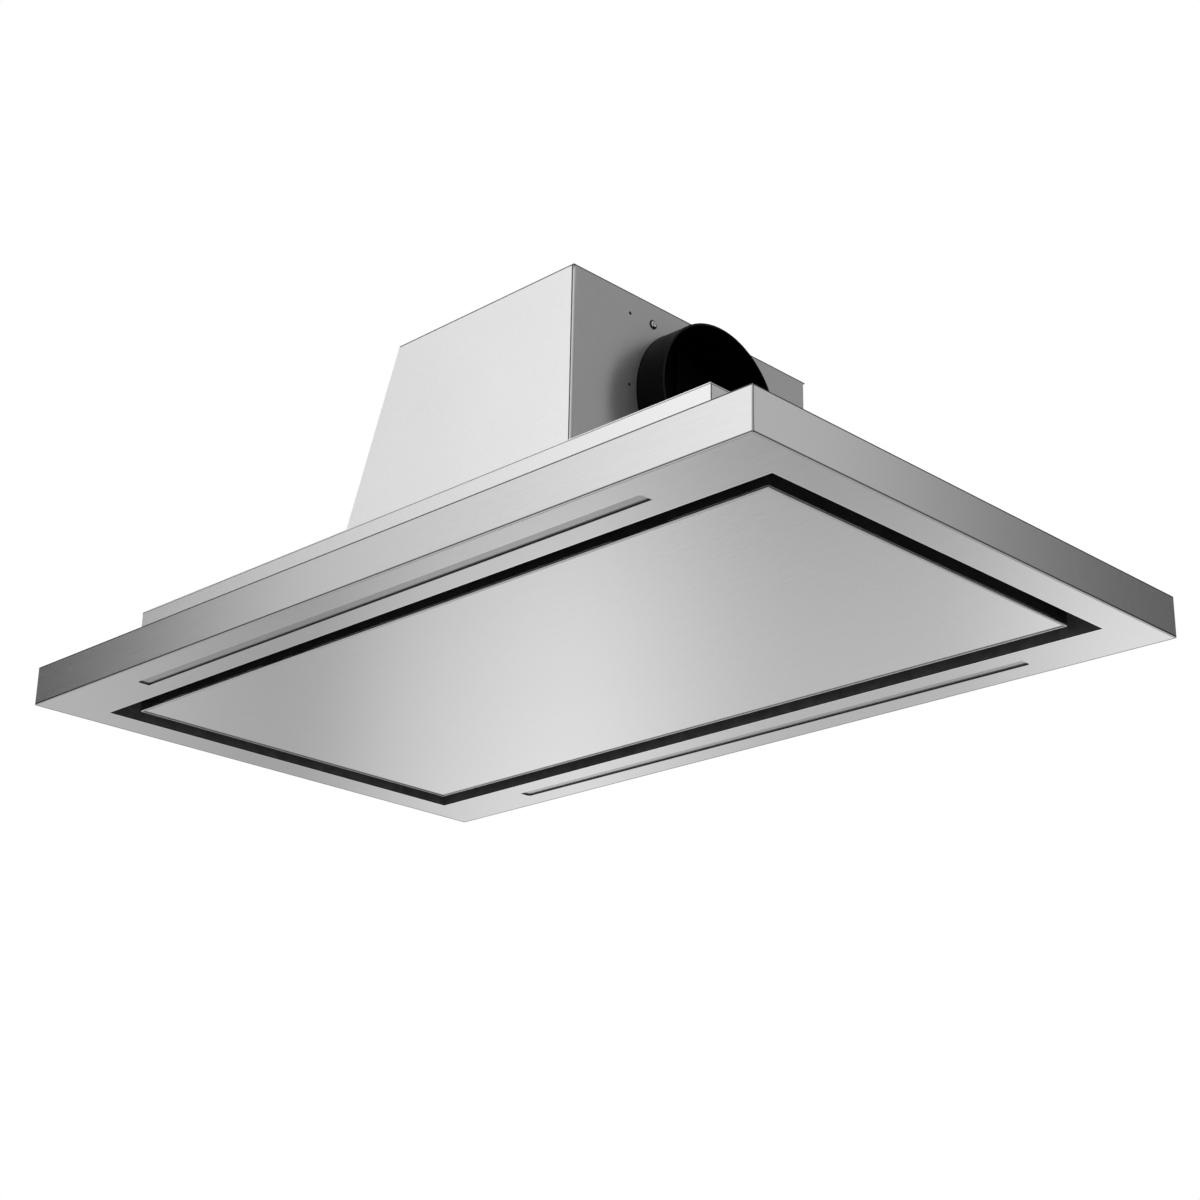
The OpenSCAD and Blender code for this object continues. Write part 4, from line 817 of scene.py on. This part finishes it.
class HOOD_OT_motor_box(bpy.types.Operator):
    """Dress the motor box: its two sides, outlet end, sloping end and lid"""

    bl_idname = "hood.motor_box"
    bl_label = "Motor box sheet"

    def execute(self, context):
        names = ("motor_box_front", "motor_box_rear", "motor_box_slope")
        line = context.scene.hood_detail.line_width
        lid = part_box("motor_box_lid")
        low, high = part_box("motor_box_front")
        end, side = high.x, -low.y

        def fold_lines(finish):
            """Painted shade lines along the lid's rim and the outlet end's upright edges."""
            past_side = finish.remap(finish.apart(finish.place()[Y]), side - 0.8 * line, side - 0.4 * line)
            uprights = finish.product(finish.near_plane(X, end, 0.4 * line), past_side)
            return finish.most(finish.near_plane(Z, lid[1].z, 1.3 * line), uprights)

        def rim_line(finish):
            """Painted shade line round the lid's rim."""
            return finish.near_rim(*lid, line)

        def bend_lines(finish):
            """Painted highlight line just inside the outlet end's upright edges."""
            away = finish.apart(finish.apart(finish.place()[Y]), side - 1.4 * line)
            beside = finish.remap(away, 0.3 * line, 0.6 * line, 1.0, 0.0)
            return finish.product(finish.near_plane(X, end, line), beside)

        # The outlet end is the motor box's sheet drawn at 0.785 of its brightness: painted shade.
        outlet = matt_sheet("Matt sheet of the outlet end", dark=fold_lines, bright=bend_lines, lift=0.785)
        dress(names, matt_sheet("Matt pale sheet of the motor box", dark=fold_lines))
        dress(("motor_box_lid",), matt_sheet("Matt pale sheet of the lid", dark=rim_line))
        dress(("motor_box_outlet",), outlet)
        round_edges((*names, "motor_box_lid", "motor_box_outlet"), context.scene.hood_detail.edge_round)
        return {"FINISHED"}


class HOOD_OT_perimeter_panel(bpy.types.Operator):
    """Dress the perimeter panel, the black frame round it, its hinges and its catches"""

    bl_idname = "hood.perimeter_panel"
    bl_label = "Perimeter panel"

    def execute(self, context):
        finishes = context.scene.hood_finish
        tray = folded_tray("Panel sheet", *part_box("panel_face"), context.scene.hood_detail.panel_bend)
        # The panel's stainless is drawn 1.09 times lighter than the flange's: painted light.
        steel = brushed_steel("Brushed stainless of the panel", X, lift=1.09)
        sheet = add_piece("panel_sheet", tray, (steel,), "perimeter_panel",
                          ("panel_face",))
        even = sheet.modifiers.new("Flat faces stay flat", "WEIGHTED_NORMAL")
        even.weight = 100
        black = satin_paint("Satin black paint", finishes.paint_colour)
        dress(("panel_tray", "hinge_brackets", "hinge_arms"), black)
        dull = satin_paint("Satin black paint of the frame", finishes.frame_colour, gloss=0.6, specular=0.08)
        dress(("inlet_frame",), dull)
        dress(("catch_magnets",), moulded_plastic("Ferrite magnet", (0.03, 0.03, 0.032), gloss=0.5))
        dress(("hinge_pins",), bright_metal("Hinge pin steel", scratch=(30.0, 1200.0, 1200.0)))
        return {"FINISHED"}


class HOOD_OT_light_strips(bpy.types.Operator):
    """Dress the two light strips: frosted diffusers, light boards and their housings"""

    bl_idname = "hood.light_strips"
    bl_label = "Light strips"

    def execute(self, context):
        dress(("light_diffusers",), frosted_diffuser("Frosted diffuser"))
        # The light housings are drawn in black paint so that the walls along the slots look dark: painted
        # shade.
        dress(("light_housings",), satin_paint("Light housing in painted shade", context.scene.hood_finish.paint_colour))
        white = moulded_plastic("White light board", (0.72, 0.72, 0.70), gloss=0.4, specular=0.5)
        dress(("light_boards",), white)
        return {"FINISHED"}


class HOOD_OT_grease_filters(bpy.types.Operator):
    """Make the three filters' expanded mesh and packing, and dress their frames and rails"""

    bl_idname = "hood.grease_filters"
    bl_label = "Grease filters"

    def execute(self, context):
        frames = [f"grease_filter_{n}" for n in FILTERS]
        dress(frames, rolled_aluminium("Filter frame aluminium"))
        dress(("filter_rails",), zinc_sheet("Galvanised filter rail"))
        round_edges(frames, FILTER_EDGE_ROUND)
        low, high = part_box("filter_meshes")
        mesh = self.filter_mesh(context.scene.hood_detail, high - low)
        for n in FILTERS:
            left, right = (corner.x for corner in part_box(f"grease_filter_{n}"))
            place = Matrix.Translation(((left + right) / 2, (low.y + high.y) / 2, (low.z + high.z) / 2))
            add_piece(f"filter_mesh_{n}", mesh, (), "hood_body", ("filter_meshes",), place)
        return {"FINISHED"}

    def filter_mesh(self, detail, size):
        """Two expanded sheets with crumpled layers behind them, centred, as one mesh for every filter."""
        left, right = (corner.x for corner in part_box("grease_filter_1"))
        width, length, face = right - left - FILTER_LIPS, size.y, -size.z / 2
        outer, inner = (width - 0.002, length - 0.002), (width - 0.004, length - 0.004)
        cell, strand = (detail.cell_length, detail.cell_width), detail.strand_width
        small_cell = (0.7 * detail.cell_length, 0.8 * detail.cell_width)
        front_level, back_level, pad_level, top_level = face + 0.0013, face + 0.0034, 0.0012, 0.0026
        pad_wave, top_wave = 0.0022, 0.0012
        layers = (
            (0, expanded_sheet(*outer, *cell, strand, front_level)),
            (1, expanded_sheet(*inner, *small_cell, strand, back_level)),
            (1, pad_sheet(*inner, pad_level, pad_wave)),
            (1, pad_sheet(*inner, top_level, top_wave, across=22, down=40)),
        )
        points, faces, kinds = [], [], []
        for kind, (some, patches) in layers:
            first = len(points)
            points += some
            faces += [tuple(first + k for k in patch) for patch in patches]
            kinds += [kind] * len(patches)
        mesh = mesh_of("Filter mesh", points, faces, smooth=False)
        mesh.materials.append(rolled_aluminium("Expanded aluminium mesh", (0.62, 0.63, 0.64), gloss=0.34))
        # The back sheet and the packing take the mesh's aluminium at a third of its brightness: painted shade
        # inside the filter.
        mesh.materials.append(rolled_aluminium("Packed aluminium layers", (0.20, 0.205, 0.21), gloss=0.5))
        mesh.polygons.foreach_set("material_index", kinds)
        return mesh


class HOOD_OT_filter_latches(bpy.types.Operator):
    """Make the latch springs as real coils of wire, and dress the latches"""

    bl_idname = "hood.filter_latches"
    bl_label = "Filter latches"

    def execute(self, context):
        grey = moulded_plastic("Grey latch plastic", (0.045, 0.046, 0.048), gloss=0.42)
        dress([f"filter_latch_{n}" for n in FILTERS], grey)
        steel = bright_metal("Spring wire", scratch=400.0)
        radius = context.scene.hood_detail.wire_diameter / 2
        for n, (low, high) in SPRINGS.items():
            path = self.coil_path(low, high, radius, context.scene.hood_detail.spring_turns)
            coil = tube_mesh("Latch coil", path, radius)
            piece = add_piece(f"latch_coil_{n}", coil, (steel,), "hood_body",
                              (f"latch_spring_{n}",))
            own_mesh(piece)
        return {"FINISHED"}

    def coil_path(self, low, high, radius, coil_turns):
        """The wire's middle line along Y. The end turns lie close together, as ground spring ends do."""
        middle, coil = (low + high) / 2, (high.x - low.x) / 2 - radius
        steps, crowding = COIL_POINTS * coil_turns, 0.0275
        path = []
        for k in range(steps + 1):
            share, turn = k / steps, 2 * math.pi * coil_turns * k / steps
            run = min(1.0, max(0.0, share + crowding * math.sin(4 * math.pi * share)))
            y = low.y + radius + (high.y - low.y - 2 * radius) * run
            path.append((middle.x + coil * math.cos(turn), y, middle.z + coil * math.sin(turn)))
        return path


class HOOD_OT_blower(bpy.types.Operator):
    """Dress the blower: scroll, adapter, feet, mounts, motor, shaft, fan wheel and lead"""

    bl_idname = "hood.blower"
    bl_label = "Blower"

    def execute(self, context):
        scroll = ("scroll_wrapper", "scroll_top", "scroll_bottom", "outlet_adapter", "blower_feet")
        dress(scroll, zinc_sheet("Galvanised blower sheet"))
        dress(("rubber_mounts",), rubber("Black mount rubber"))
        dress(("blower_motor",), motor_enamel("Grey motor enamel"))
        dress(("motor_shaft",), bright_metal("Ground shaft steel", gloss=0.16))
        plated = bright_metal("Zinc plated fan sheet", (0.50, 0.51, 0.53), gloss=0.32, scratch=150.0)
        dress(("fan_blades", "fan_inlet_ring", "fan_hub"), plated)
        dress(("motor_lead",), lead_jacket("Grey lead jacket"))
        return {"FINISHED"}


class HOOD_OT_duct_outlet(bpy.types.Operator):
    """Dress the duct collar and its damper"""

    bl_idname = "hood.duct_outlet"
    bl_label = "Duct outlet"

    def execute(self, context):
        colour = context.scene.hood_finish.collar_colour
        low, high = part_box("duct_collar")
        middle, radius = (low + high) / 2, (high.y - low.y) / 2

        def inward(finish, rims):
            """1 inside a circle that many rims within the collar's outside, fading to 0 near the outside."""
            _, y, z = finish.place()
            squares = [finish.math("POWER", finish.math("SUBTRACT", value, level), 2.0)
                       for value, level in ((y, middle.y), (z, middle.z))]
            away = finish.math("SQRT", finish.math("ADD", *squares))
            return finish.remap(away, high.y - rims * COLLAR_RIM, high.y - 0.9 * COLLAR_RIM, 1.0, 0.0)

        def bore(finish):
            """1 on the collar's bore and inward, 0 on its outer wall and its flange; painted shade darkens
            the bore.
            """
            return inward(finish, 1.3)

        def edge(finish):
            """1 on the inner half of the collar's end face, on its front side, where a painted highlight
            lightens it.
            """
            y = finish.place()[Y]
            front = finish.remap(y, middle.y - 0.2 * radius, middle.y + 0.1 * radius, 1.0, 0.0)
            face = finish.near_plane(X, high.x, 0.4 * COLLAR_RIM)
            return finish.product(face, inward(finish, 1.35), front)

        # The bore is darkened to 0.15 of the colour as painted shade, and the front of the rim lightened 3
        # times as a painted highlight.
        black = moulded_plastic("Black collar plastic", colour, 0.40, 0.07, inside=bore, rim_highlight=edge)
        dress(("duct_collar",), black)
        # The damper pin is steel, drawn in this black plastic as painted shade inside the bore.
        matt_black = moulded_plastic("Black damper plastic", tone(colour, 0.7), gloss=0.5, specular=0.05)
        dress(("damper_flap_front", "damper_flap_rear", "damper_pin"), matt_black)
        return {"FINISHED"}


class HOOD_OT_controls(bpy.types.Operator):
    """Dress the control box, its cover, board, capacitor and cable gland"""

    bl_idname = "hood.controls"
    bl_label = "Controls"

    def execute(self, context):
        dress(("control_box", "control_box_cover"), zinc_sheet("Galvanised control box"))
        dress(("control_board",), circuit_board("Green circuit board"))
        white = moulded_plastic("White capacitor case", (0.62, 0.62, 0.60), gloss=0.36, specular=0.5)
        dress(("run_capacitor",), white)
        dress(("cable_gland",), moulded_plastic("Dark gland nylon", (0.030, 0.030, 0.032), gloss=0.44))
        return {"FINISHED"}


class HOOD_OT_fasteners(bpy.types.Operator):
    """Make the pan head screws with their cross recesses, and the cup washers on the outlet end"""

    bl_idname = "hood.fasteners"
    bl_label = "Fasteners"

    def execute(self, context):
        places = screw_places()
        if len(places) < 2:
            raise RuntimeError("the screws node has no loose parts to read")
        length = places[0][2]
        head_height = length / 4
        recess = context.scene.hood_detail.screw_recess
        mesh = screw_mesh("Pan head screw", SCREW_HEAD_RADIUS, head_height, SCREW_SHANK_RADIUS,
                          length - head_height, recess)
        steel = bright_metal("Bright screw steel", (0.92, 0.92, 0.91), gloss=0.16, scratch=500.0)
        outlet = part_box("motor_box_outlet")[1].x
        washer_seats = []
        for n, (middle, outward, size) in enumerate(places, 1):
            seat = middle + outward * (size / 2 - head_height)
            upright = outward.to_track_quat("Z", "Y").to_matrix().to_4x4()
            turn = upright @ Matrix.Rotation(math.radians(SCREW_TURN * n), 4, "Z")
            place = Matrix.Translation(seat) @ turn
            add_piece(f"screw_{n:02d}", mesh, (steel,), "hood_body", ("screws",), place)
            if outward.x > 0.5 and abs(seat.x - outlet) < SEAT_GAP:
                washer_seats.append(Matrix.Translation((outlet, seat.y, seat.z)) @ upright)
        if not washer_seats:
            raise RuntimeError("no screw sits on the outlet end")
        cup = washer_mesh("Cup washer", WASHER_INNER, WASHER_OUTER, WASHER_HEIGHT)
        # The cup washers are drawn near-black for the dark ring round each screw head: painted shade.
        black = moulded_plastic("Washer in painted shade", (0.012, 0.012, 0.012), gloss=0.45)
        for n, place in enumerate(washer_seats, 1):
            add_piece(f"collar_washer_{n}", cup, (black,), "hood_body", (), place)
        return {"FINISHED"}


class HOOD_OT_studio(bpy.types.Operator):
    """Make the plain studio: soft light all round, pale floor and camera"""

    bl_idname = "hood.studio"
    bl_label = "Studio"

    def execute(self, context):
        settings = context.scene.hood_studio
        self.make_world(context, settings)
        self.make_floor(context, settings)
        self.make_camera(context, settings)
        context.scene.view_settings.view_transform = "Standard"
        context.scene.view_settings.look = "None"
        return {"FINISHED"}

    def make_world(self, context, settings):
        """Soft light from two rings and overhead, and a plain backdrop that only the camera sees."""
        world = bpy.data.worlds.new("Soft studio")
        context.scene.world = world
        world.use_nodes = True
        graph = Graph(world.node_tree)
        way = graph.add("ShaderNodeTexCoord").outputs["Generated"]
        x, y, z = graph.add("ShaderNodeSeparateXYZ", {"Vector": way}).outputs
        turn = graph.math("FRACT", graph.math("DIVIDE", graph.math("ARCTAN2", y, x), 2 * math.pi))
        over = graph.remap(z, height_at(OVERHEAD_FROM), height_at(OVERHEAD_TO), curve="SMOOTHSTEP")
        under = graph.remap(z, height_at(UNDER_FROM), height_at(UNDER_TO), curve="SMOOTHSTEP")
        deep = graph.remap(z, height_at(DEEP_FROM), height_at(DEEP_TO), SHALLOW_SHARE, DEEP_SHARE)
        upper = graph.between(self.ring(graph, turn, UPPER_RING), OVERHEAD, over)
        lower = graph.product(self.ring(graph, turn, LOWER_RING), deep)
        strength = graph.between(upper, lower, under)
        light = graph.add("ShaderNodeBackground", {"Color": (1, 1, 1, 1), "Strength": strength})
        plain = graph.add("ShaderNodeBackground", {"Color": (1, 1, 1, 1), "Strength": settings.backdrop})
        seen = graph.add("ShaderNodeLightPath").outputs["Is Camera Ray"]
        both = graph.add("ShaderNodeMixShader", {0: seen, 1: light.outputs[0], 2: plain.outputs[0]})
        graph.add("ShaderNodeOutputWorld", {"Surface": both.outputs[0]})

    def ring(self, graph, turn, stops):
        """Brightness all round, from its stops; a ramp's colours are kept under 1, so it holds half of it."""
        ramp = graph.add("ShaderNodeValToRGB", {"Fac": turn})
        elements = ramp.color_ramp.elements
        for azimuth, _ in stops[1:-1]:
            elements.new(azimuth / 360)
        for element, (_, level) in zip(elements, stops):
            element.color = (level / 2, level / 2, level / 2, 1)
        return graph.math("MULTIPLY", ramp.outputs["Color"], 2.0)

    def make_floor(self, context, settings):
        """A pale disc that fades out towards its rim, and is clear when seen from below."""
        count, radius = 96, settings.floor_radius
        points = [(0, 0, 0)] + [(radius * math.cos(a), radius * math.sin(a), 0) for a in turns(count)]
        faces = [(0, k + 1, (k + 1) % count + 1) for k in range(count)]
        floor = bpy.data.objects.new("Floor", mesh_of("Floor", points, faces, smooth=False))
        context.scene.collection.objects.link(floor)
        floor.location = (0, 0, settings.floor_height)
        material = bpy.data.materials.new("Pale floor")
        material.use_nodes = True
        graph = Graph(material.node_tree)
        away = graph.add("ShaderNodeVectorMath", {0: graph.own_place()}, operation="LENGTH").outputs["Value"]
        from_below = graph.add("ShaderNodeNewGeometry").outputs["Backfacing"]
        fade = graph.most(graph.remap(away, 0.55 * radius, radius, curve="SMOOTHSTEP"), from_below)
        pale = graph.add("ShaderNodeBsdfDiffuse", {"Color": (0.86, 0.86, 0.86, 1)})
        clear = graph.add("ShaderNodeBsdfTransparent")
        both = graph.add("ShaderNodeMixShader", {0: fade, 1: pale.outputs[0], 2: clear.outputs[0]})
        graph.add("ShaderNodeOutputMaterial", {"Surface": both.outputs[0]})
        floor.data.materials.append(material)

    def make_camera(self, context, settings):
        """The camera, where it sees the hood as the photograph does."""
        data = bpy.data.cameras.new("Camera")
        data.sensor_width, data.lens = 36.0, settings.lens
        data.clip_start, data.clip_end = 0.05, 50.0
        camera = bpy.data.objects.new("Camera", data)
        context.scene.collection.objects.link(camera)
        yaw, pitch, roll = (math.radians(angle) for angle in (CAMERA_YAW, CAMERA_PITCH, CAMERA_ROLL))
        ahead = Vector((math.cos(yaw) * math.cos(pitch), math.sin(yaw) * math.cos(pitch), math.sin(pitch)))
        level = Vector((math.sin(yaw), -math.cos(yaw), 0))
        raised = level.cross(ahead)
        right = level * math.cos(roll) + raised * math.sin(roll)
        up = raised * math.cos(roll) - level * math.sin(roll)
        turn = Matrix((right, up, -ahead)).transposed().to_4x4()
        camera.matrix_world = Matrix.Translation(CAMERA_PLACE) @ turn
        context.scene.camera = camera


OPERATORS = (
    HOOD_OT_canopy_steel, HOOD_OT_motor_box, HOOD_OT_perimeter_panel, HOOD_OT_light_strips,
    HOOD_OT_grease_filters, HOOD_OT_filter_latches, HOOD_OT_blower, HOOD_OT_duct_outlet, HOOD_OT_controls,
    HOOD_OT_fasteners, HOOD_OT_studio,
)
GROUPS = (
    ("hood_finish", HoodFinishSettings),
    ("hood_detail", HoodDetailSettings),
    ("hood_studio", HoodStudioSettings),
)


class HOOD_PT_panel(bpy.types.Panel):
    """Lists the hood's pieces and settings in the 3D view's sidebar"""

    bl_idname = "HOOD_PT_panel"
    bl_label = "Range hood"
    bl_space_type = "VIEW_3D"
    bl_region_type = "UI"
    bl_category = "Range hood"

    def draw(self, context):
        column = self.layout.column()
        for operator in OPERATORS:
            column.operator(operator.bl_idname)
        for name, group in GROUPS:
            settings = getattr(context.scene, name)
            box = self.layout.box()
            box.label(text=name.replace("_", " ").capitalize())
            for setting in group.__annotations__:
                box.prop(settings, setting)


def register():
    for name, group in GROUPS:
        bpy.utils.register_class(group)
        setattr(bpy.types.Scene, name, PointerProperty(type=group))
    for operator in OPERATORS:
        bpy.utils.register_class(operator)
    bpy.utils.register_class(HOOD_PT_panel)


def unregister():
    bpy.utils.unregister_class(HOOD_PT_panel)
    for operator in reversed(OPERATORS):
        bpy.utils.unregister_class(operator)
    for name, group in reversed(GROUPS):
        delattr(bpy.types.Scene, name)
        bpy.utils.unregister_class(group)


def main():
    """Makes every piece in order."""
    register()
    bpy.ops.hood.canopy_steel()
    bpy.ops.hood.motor_box()
    bpy.ops.hood.perimeter_panel()
    bpy.ops.hood.light_strips()
    bpy.ops.hood.grease_filters()
    bpy.ops.hood.filter_latches()
    bpy.ops.hood.blower()
    bpy.ops.hood.duct_outlet()
    bpy.ops.hood.controls()
    bpy.ops.hood.fasteners()
    bpy.ops.hood.studio()


if __name__ == "__main__":
    main()
